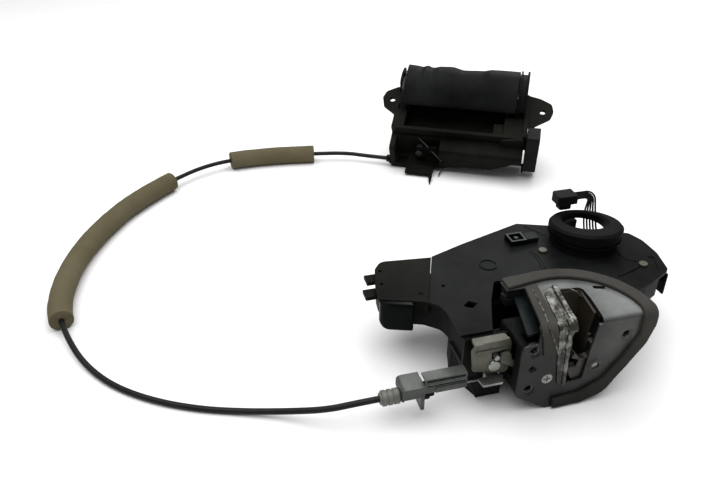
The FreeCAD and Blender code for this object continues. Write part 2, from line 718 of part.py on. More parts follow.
def split_wedge(side):
    """Half of the plan on one side of the joint between the arm and the deck."""
    a = (-49.7, 69.3)
    b = (-29.0, 121.5)
    dx, dy = b[0] - a[0], b[1] - a[1]
    length = math.hypot(dx, dy)
    dx, dy = dx / length, dy / length
    nx, ny = dy, -dx
    shift = lid_gap / 2
    near = (a[0] + nx * shift * side - dx * 60, a[1] + ny * shift * side - dy * 60)
    far = (b[0] + nx * shift * side + dx * 60, b[1] + ny * shift * side + dy * 60)
    wide = 300 * side
    return slab("XY", floor_z - 5, deck_top + 20, [
        near, far, (far[0] + nx * wide, far[1] + ny * wide), (near[0] + nx * wide, near[1] + ny * wide)])


def cavity_cut(z0, z1):
    """The open corner beside the lock case, where the levers show."""
    return slab("XY", z0, z1, [(-19, 15), (-19, 27, 2), (-7, 56, 4), (5, 78, 4), (14, 76), (14, 15)])


def deck_shell(z0, z1, wall, roof, inset):
    plan = outline("XY", z0, housing_corners())
    if inset > 0:
        plan = plan.makeOffset2D(-inset)
    outer = plan.extrude(Z_AXIS * (z1 - z0))
    inner = plan.makeOffset2D(-wall).extrude(Z_AXIS * (z1 - z0))
    inner.translate(Vector(0, 0, -roof))
    return outer.cut(inner)


def make_housing_cover():
    roof = outline("XY", deck_top - shell_wall, housing_corners()).extrude(Z_AXIS * shell_wall)
    skirt = deck_shell(shell_split, deck_top - shell_wall, shell_wall, 0, deck_overhang)
    body = roof.fuse(skirt)
    body = body.cut(case_clearance())
    body = body.common(split_wedge(1))
    body = body.cut(cavity_cut(shell_split - 1, deck_top + 1))
    base = ring_top - ring_height
    cx, cy = ring_centre
    collar = pipe(Vector(cx, cy, deck_top), Z_AXIS, ring_outer - 2.5, ring_bore + 1.5, base - deck_top)
    bay = slab("XY", deck_floor - 40, base + 1, [
        (103, 170), (103, 128, 8), (112, 114, 8), (128, 108, 8), (160, 125), (160, 170)])
    collar = collar.cut(bay)
    body = body.cut(rod(Vector(cx, cy, 0), Z_AXIS, ring_bore + 1.5, 60)).fuse(collar)
    circle = pipe(Vector(9.5, 99, deck_top - 0.2), Z_AXIS, 7.0, 6.2, 1.0)
    body = body.fuse(circle)
    body = body.cut(slab("XY", deck_top - 6, deck_top + 1, [
        (-29, 55, 0.8), (-23, 60, 0.8), (-17.5, 55.5, 0.8), (-23.5, 51, 0.8)]))
    body = body.cut(rod(Vector(-34, 82, deck_top - 6), Z_AXIS, 1.5, 10))
    return body.removeSplitter()


def case_clearance():
    return block(case_left - 0.4, 92, -5, case_depth + 0.3, floor_z - 5, deck_top + 20)


def make_arm_cover():
    roof = outline("XY", deck_top - shell_wall - 0.6, housing_corners()).extrude(Z_AXIS * shell_wall)
    skirt = deck_shell(shell_split, deck_top - shell_wall - 0.6, shell_wall, 0, 0.4)
    body = roof.fuse(skirt).common(split_wedge(-1))
    for y in (89, 107):
        x = -91.5 + (y - 89) * 0.32
        body = body.fuse(block(x, x + 10, y, y + 10, deck_top - 8, deck_top - 5))
    return body.removeSplitter()


def make_housing_base():
    plan = outline("XY", deck_floor, housing_corners()).makeOffset2D(-deck_overhang)
    height = shell_split - deck_floor
    outer = plan.extrude(Z_AXIS * height)
    inner = plan.makeOffset2D(-shell_wall).extrude(Z_AXIS * height)
    inner.translate(Vector(0, 0, shell_wall))
    body = outer.cut(inner)
    keep = outline("XY", floor_z, [
        (-27.5, front_y, 3), (-38, 50, 6), (-30, 75, 6), (35, 84, 8), (60, 70, 6), (60, case_depth + 0.4, 2),
        (case_left - 0.4, case_depth + 0.4), (case_left - 0.4, front_y)])
    well = keep.extrude(Z_AXIS * (deck_floor - floor_z + shell_wall))
    hollow = keep.makeOffset2D(-shell_wall).extrude(Z_AXIS * (deck_floor - floor_z + shell_wall))
    hollow.translate(Vector(0, 0, shell_wall))
    pocket = slab("XY", floor_z, deck_floor + shell_wall, [
        (52, 118, 8), (62, 140, 8), (88, 146, 8), (94, 132, 8), (74, 112, 8)])
    front_wall = block(-41, case_left - 0.4, front_y, front_y + 3, deck_floor, deck_top - shell_wall - 0.1)
    flare = slab("XZ", front_y, 48, [
        (-41, deck_floor + 1), (-27, deck_floor + 1), (-27, floor_z), (-28.5, floor_z)])
    body = join(body, well, pocket, front_wall, flare).cut(hollow)
    outlet = block(outlet_spot.x - 9, outlet_spot.x + 9, outlet_spot.y - 14, outlet_spot.y, 0, shell_split - 0.2)
    body = join(body, outlet)
    body = body.cut(rod(Vector(rivet[0], front_y - 1, rivet[1]), Y_AXIS, rivet_radius + fit_gap, 6))
    body = body.cut(rod(Vector(ring_centre[0], ring_centre[1], -60), Z_AXIS, ring_bore + 1.5, 100))
    body = body.cut(case_clearance())
    return body.removeSplitter()


def make_arm_front_cover():
    """Glossy cover over the arm's front, its lower left corner rounded."""
    face = slab("XZ", 60, 84, [
        (-84.5, deck_floor, 7), (-84.5, deck_top - 1.2, 2), (-61, deck_top - 1.2, 2), (-61, deck_floor, 1)])
    plan = slab("XY", deck_floor, deck_top, [(-84.5, 75, 4), (-84.5, 80, 1), (-61, 71.8, 1), (-61, 66.5, 3)])
    return face.common(plan).cut(outline("XY", -12, housing_corners()).extrude(Z_AXIS * 60))


def make_ring_seal():
    """Thick rubber ring, its top leaning away to the back, with a groove round its side."""
    cx, cy = ring_centre
    base = ring_top - ring_height
    body = pipe(Vector(cx, cy, base), Z_AXIS, ring_outer, ring_bore, 2 * ring_height)
    above = block(-60, 60, -60, 60, 0, 60)
    above.rotate(Vector(0, 0, 0), Vector(0.966, -0.259, 0), -ring_tilt)
    above.translate(Vector(cx, cy, ring_top))
    body = body.cut(above)
    edges = [edge for edge in body.Edges if edge.Closed and edge.BoundBox.ZMax > ring_top]
    body = body.makeChamfer(1.8, edges)
    return body.cut(pipe(Vector(cx, cy, base + 1.4), Z_AXIS, ring_outer + 1, ring_outer - 1.8, 1.8))


def make_wire_clip():
    z = deck_top
    body = block(38, 52, 118, 131, z, z + 5)
    stud = rod(Vector(45, 124.5, z + 2), Z_AXIS, 2, 2.4)
    return join(body.cut(block(40, 50, 120, 129, z + 2, z + 6)), stud)


def make_clip_block():
    return slab("XY", deck_top, deck_top + 4.5, [(52.6, 119, 1), (52.6, 129, 1), (63, 129, 1), (63, 119, 1)])


def make_end_clip():
    body = block(147.3, 149.0, 64, 76, -9, 10).fuse(block(138, 149.0, 68, 72, 1, 3))
    plan = outline("XY", deck_floor, housing_corners()).makeOffset2D(-deck_overhang)
    return body.cut(plan.extrude(Z_AXIS * 20)).removeSplitter()


def make_housing_screws():
    spots = [(60, 106), (126, 68)]
    heads = [rod(Vector(x, y, deck_top), Z_AXIS, 3.4, 1.8) for x, y in spots]
    return Part.makeCompound(heads)


def make_blade_lever():
    z0 = blade_level
    x, y = blade_pivot
    body = slab("XY", z0, z0 + blade_thickness, [
        (x - 5.5, y + 4, 4), (x + 5, y + 4, 4), (4.4, 6, 1.5), (-5.2, 4.5, 1.5)])
    return body.cut(rod(Vector(x, y, z0 - 1), Z_AXIS, blade_pin_radius + fit_gap, 5))


def make_blade_pin():
    spot = Vector(blade_pivot[0], blade_pivot[1], blade_level - 0.5)
    return rod(spot, Z_AXIS, blade_pin_radius, blade_thickness + 1.0)


def make_plate_screw():
    x, z = plate_screw_spot
    head = cone(Vector(x, 0, z), Y_AXIS, screw_head_radius, screw_radius, screw_head_height)
    shank_length = case_pocket_depth - 0.2 - screw_head_height
    shank = rod(Vector(x, screw_head_height, z), Y_AXIS, screw_radius - 0.02, shank_length)
    body = join(head, shank)
    for size in ((2.6, 0.45), (0.45, 2.6)):
        body = body.cut(block(x - size[0], x + size[0], -0.5, 0.9, z - size[1], z + size[1]))
    return body


# Pigtail of the lock's own wiring

def route_edges(points):
    """Straight runs joined by tangent arcs, each arc as large as its two runs allow."""
    edges = []
    radii = []
    start = points[0]
    for index in range(1, len(points) - 1):
        here = points[index]
        back = points[index - 1] - here
        ahead = points[index + 1] - here
        shorter = min(back.Length, ahead.Length)
        back.normalize()
        ahead.normalize()
        turn = math.pi - back.getAngle(ahead)
        radius = 0.45 * shorter / math.tan(turn / 2)
        radii.append(radius)
        reach = 0.45 * shorter
        first = here + back * reach
        last = here + ahead * reach
        middle = back + ahead
        middle.normalize()
        inner = math.pi - turn
        depth = radius / math.sin(inner / 2) - radius
        edges.append(Part.LineSegment(start, first).toShape())
        edges.append(Part.Arc(first, here + middle * depth, last).toShape())
        start = last
    edges.append(Part.LineSegment(start, points[-1]).toShape())
    return edges, radii


def sweep(edges, radius, bore=0.0):
    wire = Part.Wire(edges)
    start = edges[0].Vertexes[0].Point
    direction = edges[0].tangentAt(edges[0].FirstParameter)
    ring = Part.Wire(Part.makeCircle(radius, start, direction))
    solid = wire.makePipeShell([ring], True, True, 2)
    if bore > 0:
        core = wire.makePipeShell([Part.Wire(Part.makeCircle(bore, start, direction))], True, True, 2)
        solid = solid.cut(core)
    return solid


def make_pigtail_wires():
    """Wires from the outlet behind the ring, up and over to the connector."""
    solids = []
    c = connector_spot
    for index in range(pigtail_count):
        across = (index - 2) * 2.4
        x = outlet_spot.x + across * 1.2
        points = [Vector(x, outlet_spot.y, outlet_spot.z), Vector(x, outlet_spot.y + 22, outlet_spot.z),
                  Vector(x + 1, c.y + 2, c.z - 20), Vector(x - 0.5, c.y + 1 + across, c.z),
                  Vector(c.x + 9, c.y + 1 + across, c.z)]
        edges, radii = route_edges(points)
        solids.append(sweep(edges, pigtail_radius))
    print("pigtail radii", [round(radius, 1) for radius in radii])
    return Part.makeCompound(solids)


def make_connector():
    c = connector_spot
    body = slab("XY", c.z - 4, c.z + 4, [
        (c.x - 9, c.y - 6, 3), (c.x - 9, c.y + 8, 3), (c.x + 9, c.y + 8, 1), (c.x + 9, c.y - 6, 1)])
    lobe = slab("XY", c.z - 10, c.z - 4, [
        (c.x - 5, c.y - 3, 2), (c.x - 5, c.y + 6, 2), (c.x + 6, c.y + 6, 2), (c.x + 6, c.y - 3, 2)])
    return join(body, lobe)


# Cable: the route's points, from the ferrule round to the handle's gland

def handle_spot(x, y, z):
    """A point of the handle unit's own frame, where the unit lies."""
    turn = FreeCAD.Rotation(Z_AXIS, handle_yaw) * FreeCAD.Rotation(X_AXIS, handle_tilt)
    return handle_origin + turn.multVec(Vector(x, y, z))


gland_end = frame_left - 5.0

cable_points = [
    Vector(-101.0, wire_y, cable_z), Vector(-117.0, wire_y, cable_z), Vector(-137.0, 24.5, -23.5),
    Vector(-163.0, 38.0, -31.5), Vector(-193.3, 49.8, -35.2), Vector(-223.0, 60.5, -35.2),
    Vector(-253.8, 77.5, -35.2), Vector(-281.7, 100.7, -35.2), Vector(-302.4, 129.5, -34.0),
    Vector(-315.0, 158.0, -30.0), Vector(-323.0, 186.0, -27.5), Vector(-324.1, 213.7, -27.5),
    Vector(-321.0, 243.4, -27.5), Vector(-314.8, 271.4, -27.5), Vector(-304.3, 300.9, -27.5),
    Vector(-289.0, 331.9, -27.5), Vector(-272.2, 359.1, -27.5), Vector(-250.1, 385.0, -27.5),
    Vector(-222.5, 411.6, -27.5), Vector(-192.0, 434.0, -27.5), Vector(-158.6, 445.0, -27.5),
    Vector(-108.4, 445.0, -27.5), Vector(-58.1, 437.0, -27.5), Vector(-22.0, 431.0, -28.3),
    handle_spot(gland_end - 22, gland_y, gland_z), handle_spot(gland_end, gland_y, gland_z)]


def make_cable():
    sleeve_spans = {"foam_sleeve_long": (21, 35), "foam_sleeve_short": (39, 43)}
    edges, radii = route_edges(cable_points)
    print("cable radii", [round(radius) for radius in radii])
    length = sum(edge.Length for edge in edges)
    conduit = sweep(edges, conduit_radius)
    print("cable length", round(length, 1), "volume ratio",
          round(conduit.Volume / (math.pi * conduit_radius ** 2 * length), 4))
    save("cable_conduit", conduit)
    for name, span in sleeve_spans.items():
        part = edges[span[0]:span[1]]
        sleeve = sweep(part, sleeve_radius, conduit_radius + 0.1)
        print(name, round(sum(edge.Length for edge in part), 1))
        save(name, sleeve)


# Handle unit

def lay(shape):
    shape = shape.copy()
    turn = FreeCAD.Rotation(Z_AXIS, handle_yaw) * FreeCAD.Rotation(X_AXIS, handle_tilt)
    shape.Placement = FreeCAD.Placement(handle_origin, turn) * shape.Placement
    return shape


def pocket_block(inset, front):
    """The finger recess under the flap, and with a negative inset its moulded walls."""
    low = frame_low + 6 + inset
    high = frame_high - 6 - inset
    floor = -pocket_depth + inset
    return slab("YZ", frame_left + 14 + inset, frame_right - 26 - inset, [
        (low, front), (high, front), (high, floor + 14, 6), (low + 8, floor, 6), (low, floor + 8, 4)])


def make_handle_frame():
    plate = slab("XY", -frame_thickness, 0, [
        (frame_left, frame_low, 4), (frame_left, frame_high, 6),
        (frame_right, frame_high, 6), (frame_right, frame_low, 4)])
    left_ear = [
        (-76, -25), (-83.5, -18, 5), (-94.6, -10, 7), (-98, 2, 6), (-95.3, 11.8, 7), (-83.4, 19.5, 6),
        (-76, 22)]
    right_ear = [
        (66, 23.5), (82.5, 19.3, 6), (95.3, 12.5, 7), (98, 2, 6), (95.2, -8, 7), (82, -18, 5),
        (76, -23, 3), (66, -23)]
    for side, ear in ((-1, left_ear), (1, right_ear)):
        plate = plate.fuse(slab("XY", -frame_thickness, -frame_thickness + ear_thickness, ear))
        plate = plate.cut(rod(Vector(side * ear_pitch / 2, 0, -10), Z_AXIS, ear_hole_radius, 20))
    lip = block(frame_left + 6, frame_right - 4, frame_low, frame_low + 4, 0, 3)
    rim = block(spool_right - 0.5, frame_right, frame_low + 3, frame_high - 5, -1, 3)
    walls = pocket_block(-pocket_wall, -frame_thickness)
    left_cheek = slab("YZ", flap_left - 3.2, flap_left - 1.0, [
        (12, -3), (frame_high + 20, -3, 2), (frame_high + 21, 8, 5), (30, 14, 5), (16, 14, 5)])
    body = join(plate, lip, rim, walls, left_cheek)
    body = body.cut(pocket_block(0, 5))
    length = flap_right - flap_left + 2
    sweep_room = rod(Vector(flap_left - 1, flap_centre[0], flap_centre[1]), X_AXIS, flap_radius + 0.6, length)
    sweep_room = sweep_room.common(block(flap_left - 1, flap_right + 1, -60, 80, -frame_thickness - 6, 60))
    body = body.cut(sweep_room).fuse(spool())
    pin = rod(Vector(flap_left - 4, hinge_spot[0], hinge_spot[1]), X_AXIS, flap_pin_radius + fit_gap, length + 6)
    return body.cut(pin).removeSplitter()


def spool():
    """Round end beside the flap: two flanges on a smaller core, carrying the flap's pin."""
    spot = Vector(flap_right + 1, flap_centre[0], flap_centre[1])
    width = spool_right - spot.x
    near = rod(spot, X_AXIS, flap_radius + 1, 2)
    far = rod(spot + X_AXIS * (width - 2.5), X_AXIS, flap_radius + 1, 2.5)
    core = rod(spot, X_AXIS, flap_radius - 7, width)
    return join(near, far, core).common(block(50, 80, -60, 80, -frame_thickness, 60))


def flap_lean_cut(shift):
    """Everything left of the flap's slanted left end."""
    foot = flap_left + shift
    top = flap_centre[1] + flap_radius
    return slab("XZ", -80, 100, [
        (flap_left - 6, -50), (foot, -50), (foot, flap_centre[1]), (foot + flap_lean, top),
        (foot + flap_lean, top + 30),
        (flap_left - 6, top + 30)])


def make_grip_flap():
    cy, cz = flap_centre
    length = flap_right - flap_left
    shell = sector("YZ", flap_centre, flap_radius, flap_end, flap_start, flap_left, flap_right)
    inner = rod(Vector(flap_left, cy, cz), X_AXIS, flap_radius - flap_wall, length - flap_wall)
    inner = inner.cut(flap_lean_cut(flap_wall))
    shell = shell.cut(flap_lean_cut(0)).cut(inner)
    shell = shell.cut(block(flap_left - 1, flap_right + 1, -60, cy, -40, flap_low))
    shell = shell.cut(block(flap_left - 1, flap_right + 1, cy, 80, -40, 1.5))
    front = cy - flap_radius
    rim = slab("YZ", flap_left + flap_wall, flap_right - flap_wall, [
        (front + 1.5, flap_low), (front + 7, flap_low), (front + 9, flap_low + 3.4, 1),
        (front + 1.5, flap_low + 7.4)])
    rim = rim.common(rod(Vector(flap_left, cy, cz), X_AXIS, flap_radius - 0.2, length)).cut(flap_lean_cut(0))
    knuckles = []
    for x in (flap_left, flap_right - 12):
        knuckles.append(rod(Vector(x, hinge_spot[0], hinge_spot[1]), X_AXIS, 3.9, 12))
    shell = join(shell, rim, *knuckles)
    shell = shell.cut(rod(Vector(flap_left + 19, hinge_spot[0], hinge_spot[1]), X_AXIS, 4.6, 12))
    pin = rod(Vector(flap_left - 2, hinge_spot[0], hinge_spot[1]), X_AXIS, flap_pin_radius + fit_gap, length + 4)
    return shell.cut(pin)


def make_flap_pin():
    length = flap_right - flap_left + 6.2
    return rod(Vector(flap_left - 3.2, hinge_spot[0], hinge_spot[1]), X_AXIS, flap_pin_radius, length)


def make_flap_spring():
    return coil(Vector(flap_left + 20, hinge_spot[0], hinge_spot[1]), flap_pin_radius + 0.75, 0.62, 8)


def make_handle_body():
    """Mechanism case below and behind the finger recess."""
    profile = [(frame_low + 1, -frame_thickness), (frame_low + 1, body_front), (body_low, body_front - 2, 5),
               (body_low, body_back, 6), (-22, -60, 6), (6, -44, 6), (frame_high - 4, -24, 6),
               (frame_high - 4, -frame_thickness)]
    outer = slab("YZ", frame_left + 1, frame_right - 2, profile)
    body = outer.cut(pocket_block(-pocket_wall - 0.3, 5))
    room = block(crank_pivot[0] - 27, crank_pivot[0] + 24, body_low - 5, frame_low - 2, body_back + 8, 0)
    body = body.cut(room)
    body = body.cut(rod(Vector(frame_left - 20, gland_y, gland_z), X_AXIS, 4.4, 40))
    body = body.cut(rod(Vector(crank_pivot[0], frame_low - 3, crank_level), Y_AXIS, crank_pin_radius + fit_gap, 8))
    middle = body_back + 13
    right = body_back + 26
    body = body.cut(slab("XZ", -90, -30, [
        (-55, body_back), (8, middle), (36, middle), (60, right), (90, right), (90, -90), (-55, -90)]))
    lobe = slab("YZ", -59, -28, [
        (body_low + 4, -39), (body_low + 4, -43.5), (body_low, -43.5, 2), (body_low - 16, -35.5, 3),
        (body_low - 16, -31, 3),
        (body_low - 2, -33, 3), (body_low - 1, -39)])
    skirt = slab("XZ", frame_low - 3, frame_low - 0.2, [
        (43.7, 0.6, 3), (frame_right - 2, 4, 3), (frame_right - 2, -37, 3), (51.4, -34.5, 5),
        (44.8, -17.1, 5)])
    return join(body, lobe, skirt)


def make_bell_crank():
    x, z = crank_pivot[0], crank_level
    y1 = crank_back
    y0 = y1 - crank_steel
    body = slab("XZ", y0, y1, [
        (x - 5.5, z - 5, 5), (x + 5, z - 5.5, 5), (x + crank_arm + 3, z + 6, 3), (x + crank_arm, z + 12, 3),
        (x + 2, z + 6, 3), (x - 4, z + 5.5, 4), (x - 5.5, z, 2)])
    arm = slab("XZ", y0, y1, [(x - 4, z + 2, 3), (x + 4, z + 2, 3), (x + 3, z - 13, 2.5),
                              (x - 3, z - 13, 2.5)])
    body = join(body, arm)
    return body.cut(rod(Vector(x, y0 - 1, z), Y_AXIS, crank_pin_radius + fit_gap, crank_steel + 2))


def make_crank_pin():
    x, z = crank_pivot[0], crank_level
    front = crank_back - crank_steel - running_gap
    pin = rod(Vector(x, front, z), Y_AXIS, crank_pin_radius, frame_low + 1 - front)
    spacer_length = frame_low - 2.1 - crank_back - running_gap
    spacer = rod(Vector(x, crank_back + running_gap, z), Y_AXIS, crank_pin_radius + 2, spacer_length)
    return join(pin, spacer, rod(Vector(x, front - 1.2, z), Y_AXIS, 4.0, 1.2))


def make_gland():
    spot = Vector(gland_end, gland_y, gland_z)
    body = rod(spot, X_AXIS, 4.2, 14)
    flange = rod(Vector(frame_left - 1, gland_y, gland_z), X_AXIS, 6.0, 1.8)
    body = join(body, flange)
    return body.cut(rod(spot - X_AXIS, X_AXIS, wire_radius + 0.4, 30))


def make_socket_block():
    """End block with a socket open to the right, its neck on the mechanism case."""
    x0 = frame_right + 0.2
    depth = 14.0
    wall = 2.0
    outer = slab("YZ", x0, x0 + depth, [
        (-32, 10, 3), (-56, 18, 2), (-56, -38, 3), (-48, -50, 3), (-20, -52, 3), (-16, -30, 4), (-26, -8, 3)])
    hollow = slab("YZ", x0 + wall, x0 + depth + 1, [
        (-35, 6, 1), (-53, 12, 1), (-53, -33, 1), (-46, -46, 1), (-24, -48, 1), (-20, -31, 1), (-30, -8, 1)])
    neck = block(frame_right - 1.95, x0 + 0.5, -42, -32, -19, -10)
    return join(outer.cut(hollow), neck)


def make_pocket_insert():
    x1 = frame_right - 26.4
    low = frame_low + 7
    return slab("YZ", x1 - 11, x1, [(low, -3, 1), (-20, -3, 3), (-18, -14, 2), (low, -18, 2)])


def make_all():
    save("latch_face_plate", make_face_plate())
    save("lock_case", make_latch_body())
    save("back_plate", make_back_plate())
    save("claw", make_claw())
    save("claw_pin", make_pin(claw_pivot, claw_pin_radius, 0.1, case_pocket_depth - 0.2))
    save("pawl", make_pawl())
    save("pawl_pin", make_pin(pawl_pivot, pawl_pin_radius, pin_seat + 0.1, case_pocket_depth + 0.3 + lever_steel))
    save("pawl_lever", make_pawl_lever())
    save("mouth_liner", make_mouth_liner())
    save("mouth_bumper", make_mouth_bumper())
    save("mouth_lip", make_mouth_lip())
    save("foam_strip", make_foam_strip())
    save("foam_gasket", make_gasket())
    save("plate_screw", make_plate_screw())
    save("lever_bracket", make_lever_bracket())
    save("release_lever", make_release_lever())
    save("lever_rivet", make_lever_rivet())
    save("cable_rail", make_cable_rail())
    save("cable_bracket", make_cable_bracket())
    save("cable_ferrule", make_ferrule())
    save("cable_bush", make_bush())
    save("inner_wire", make_inner_wire())
    save("housing_cover", make_housing_cover())
    save("housing_base", make_housing_base())
    save("arm_cover", make_arm_cover())
    save("arm_front_cover", make_arm_front_cover())
    save("ring_seal", make_ring_seal())
    save("wire_clip", make_wire_clip())
    save("clip_block", make_clip_block())
    save("end_clip", make_end_clip())
    save("housing_screws", make_housing_screws())
    save("blade_lever", make_blade_lever())
    save("blade_pin", make_blade_pin())
    save("pigtail_wires", make_pigtail_wires())
    save("pigtail_connector", make_connector())
    make_cable()
    save("handle_frame", lay(make_handle_frame()))
    save("handle_body", lay(make_handle_body()))
    save("grip_flap", lay(make_grip_flap()))
    save("flap_pin", lay(make_flap_pin()))
    save("flap_spring", lay(make_flap_spring()))
    save("bell_crank", lay(make_bell_crank()))
    save("crank_pin", lay(make_crank_pin()))
    save("cable_gland", lay(make_gland()))
    save("socket_block", lay(make_socket_block()))
    save("pocket_insert", lay(make_pocket_insert()))


make_all()
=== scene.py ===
import math

import bpy
from mathutils import Matrix, Vector


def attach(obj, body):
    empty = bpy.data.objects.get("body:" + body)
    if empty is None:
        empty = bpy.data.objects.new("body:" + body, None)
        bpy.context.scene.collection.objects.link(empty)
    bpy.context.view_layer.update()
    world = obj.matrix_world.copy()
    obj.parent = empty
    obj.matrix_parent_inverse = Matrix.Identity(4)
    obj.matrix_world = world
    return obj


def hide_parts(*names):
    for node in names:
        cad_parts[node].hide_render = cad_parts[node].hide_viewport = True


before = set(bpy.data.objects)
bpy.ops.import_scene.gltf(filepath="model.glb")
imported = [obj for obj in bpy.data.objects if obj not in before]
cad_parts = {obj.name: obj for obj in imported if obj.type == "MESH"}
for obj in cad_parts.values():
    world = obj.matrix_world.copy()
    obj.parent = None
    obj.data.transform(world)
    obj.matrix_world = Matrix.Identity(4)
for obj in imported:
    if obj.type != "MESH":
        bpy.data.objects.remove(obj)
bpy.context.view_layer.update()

# Camera: a lens of 34 mm held 358 mm above the bench, in front of the latch and to its left.
# It looks down at 32 degrees and is turned 15 degrees to the right.

CAMERA_SPOT = (-0.2010, -0.3052, 0.3205)
CAMERA_TILT = math.radians(58.0)
CAMERA_TURN = math.radians(-15.0)

camera_data = bpy.data.cameras.new("camera")
camera_data.sensor_width = 36.0
camera_data.lens = 34.40
camera_data.clip_end = 20.0
camera = bpy.data.objects.new("camera", camera_data)
camera.location = CAMERA_SPOT
camera.rotation_euler = (CAMERA_TILT, 0.0, CAMERA_TURN)
bpy.context.scene.collection.objects.link(camera)
bpy.context.scene.camera = camera
bpy.context.scene.view_settings.view_transform = "Standard"

# Bench: a wide white board, painted matt, that the whole set lies on.
# It is a fifth of a millimetre below the lowest solids, so that it cuts none of them.

BENCH_Z = -0.0375
BENCH_GAP = 0.0002
BENCH_WHITE = (0.86, 0.86, 0.86, 1.0)

bpy.ops.object.select_all(action="DESELECT")
bpy.ops.mesh.primitive_plane_add(size=8.0, location=(0.0, 0.0, BENCH_Z - BENCH_GAP))
bench = bpy.context.object
bench.name = "bench"
bench_paint = bpy.data.materials.new("bench_white")
bench_paint.use_nodes = True
bench_shader = bench_paint.node_tree.nodes["Principled BSDF"]
bench_shader.inputs["Base Color"].default_value = BENCH_WHITE
bench_shader.inputs["Roughness"].default_value = 0.9
bench.data.materials.append(bench_paint)

# Light: a pale room, a large soft lamp over the bench and a small one behind the handle.
# The large one gives soft shadows, the small one a little gloss along the upper edges.

ROOM_STRENGTH = 0.32

world = bpy.data.worlds.new("studio")
world.use_nodes = True
room = world.node_tree.nodes["Background"]
room.inputs["Color"].default_value = (1.0, 1.0, 1.0, 1.0)
room.inputs["Strength"].default_value = ROOM_STRENGTH
bpy.context.scene.world = world


def soft_lamp(name, spot, aim, size, power):
    """A square lamp that faces its aim."""
    lamp_data = bpy.data.lights.new(name, "AREA")
    lamp_data.shape = "SQUARE"
    lamp_data.size = size
    lamp_data.energy = power
    lamp = bpy.data.objects.new(name, lamp_data)
    lamp.location = spot
    lamp.rotation_euler = (Vector(aim) - Vector(spot)).to_track_quat("-Z", "Y").to_euler()
    bpy.context.scene.collection.objects.link(lamp)


soft_lamp("lamp_above", spot=(-0.2, 0.2, 1.7), aim=(-0.1, 0.2, 0.0), size=2.4, power=52.0)
soft_lamp("lamp_behind", spot=(0.62, 1.25, 0.80), aim=(0.08, 0.12, 0.0), size=0.5, power=4.0)

# Cable: an inner wire in a conduit of black plastic, drawn as one smooth line along its route.
# It leaves the ferrule by the latch, runs round in a wide loop and ends in the handle's gland.

CONDUIT_RADIUS = 0.0023
CABLE_ROUTE = [
    (-0.1010, 0.0202, -0.0185), (-0.1170, 0.0202, -0.0185), (-0.1370, 0.0245, -0.0235),
    (-0.1630, 0.0380, -0.0315), (-0.1933, 0.0498, -0.0352), (-0.2230, 0.0605, -0.0352),
    (-0.2538, 0.0775, -0.0352), (-0.2817, 0.1007, -0.0352), (-0.3024, 0.1295, -0.0340),
    (-0.3150, 0.1580, -0.0300), (-0.3230, 0.1860, -0.0275), (-0.3241, 0.2137, -0.0275),
    (-0.3210, 0.2434, -0.0275), (-0.3148, 0.2714, -0.0275), (-0.3043, 0.3009, -0.0275),
    (-0.2890, 0.3319, -0.0275), (-0.2722, 0.3591, -0.0275), (-0.2501, 0.3850, -0.0275),
    (-0.2225, 0.4116, -0.0275), (-0.1920, 0.4340, -0.0275), (-0.1586, 0.4450, -0.0275),
    (-0.1084, 0.4450, -0.0275), (-0.0581, 0.4370, -0.0275), (-0.0220, 0.4310, -0.0283),
    (0.00181, 0.41649, -0.02870), (0.02109, 0.40589, -0.02870)]


def spline_of(name, points):
    """A smooth open line near the points."""
    curve = bpy.data.curves.new(name, "CURVE")
    curve.dimensions = "3D"
    curve.resolution_u = 10
    spline = curve.splines.new("NURBS")
    spline.points.add(len(points) - 1)
    for point, spot in zip(spline.points, points):
        point.co = (*spot, 1.0)
    spline.order_u = 3
    spline.use_endpoint_u = True
    return curve


def rounded_line(name, curve, radius, steps=6):
    """The curve drawn round, as an object of its own; more steps make it rounder."""
    curve.bevel_depth = radius
    curve.bevel_resolution = steps
    curve.use_fill_caps = True
    thing = bpy.data.objects.new(name, curve)
    bpy.context.scene.collection.objects.link(thing)
    return thing


# A Mix node's sockets for colours go by number, because those for plain values have the same names.
MIX_SHARE, MIX_FIRST, MIX_SECOND, MIX_RESULT = 0, 6, 7, 2


def dust_and_sheen_on(tree, colour, drift, dust_and_sheen):
    """Makes what faces upwards lighter in patches: partly dusty, partly painted light from above."""
    facing = tree.nodes.new("ShaderNodeNewGeometry")
    upward = tree.nodes.new("ShaderNodeSeparateXYZ")
    share = tree.nodes.new("ShaderNodeMapRange")
    share.inputs["From Min"].default_value = 0.35
    share.inputs["From Max"].default_value = 0.95
    broken = tree.nodes.new("ShaderNodeMath")
    broken.operation = "MULTIPLY"
    patchy = tree.nodes.new("ShaderNodeMix")
    patchy.data_type = "RGBA"
    patchy.inputs[MIX_SECOND].default_value = (*dust_and_sheen, 1.0)
    tree.links.new(facing.outputs["Normal"], upward.inputs["Vector"])
    tree.links.new(upward.outputs["Z"], share.inputs["Value"])
    tree.links.new(share.outputs["Result"], broken.inputs[0])
    tree.links.new(drift.outputs["Fac"], broken.inputs[1])
    tree.links.new(broken.outputs[0], patchy.inputs[MIX_SHARE])
    tree.links.new(colour, patchy.inputs[MIX_FIRST])
    return patchy.outputs[MIX_RESULT]


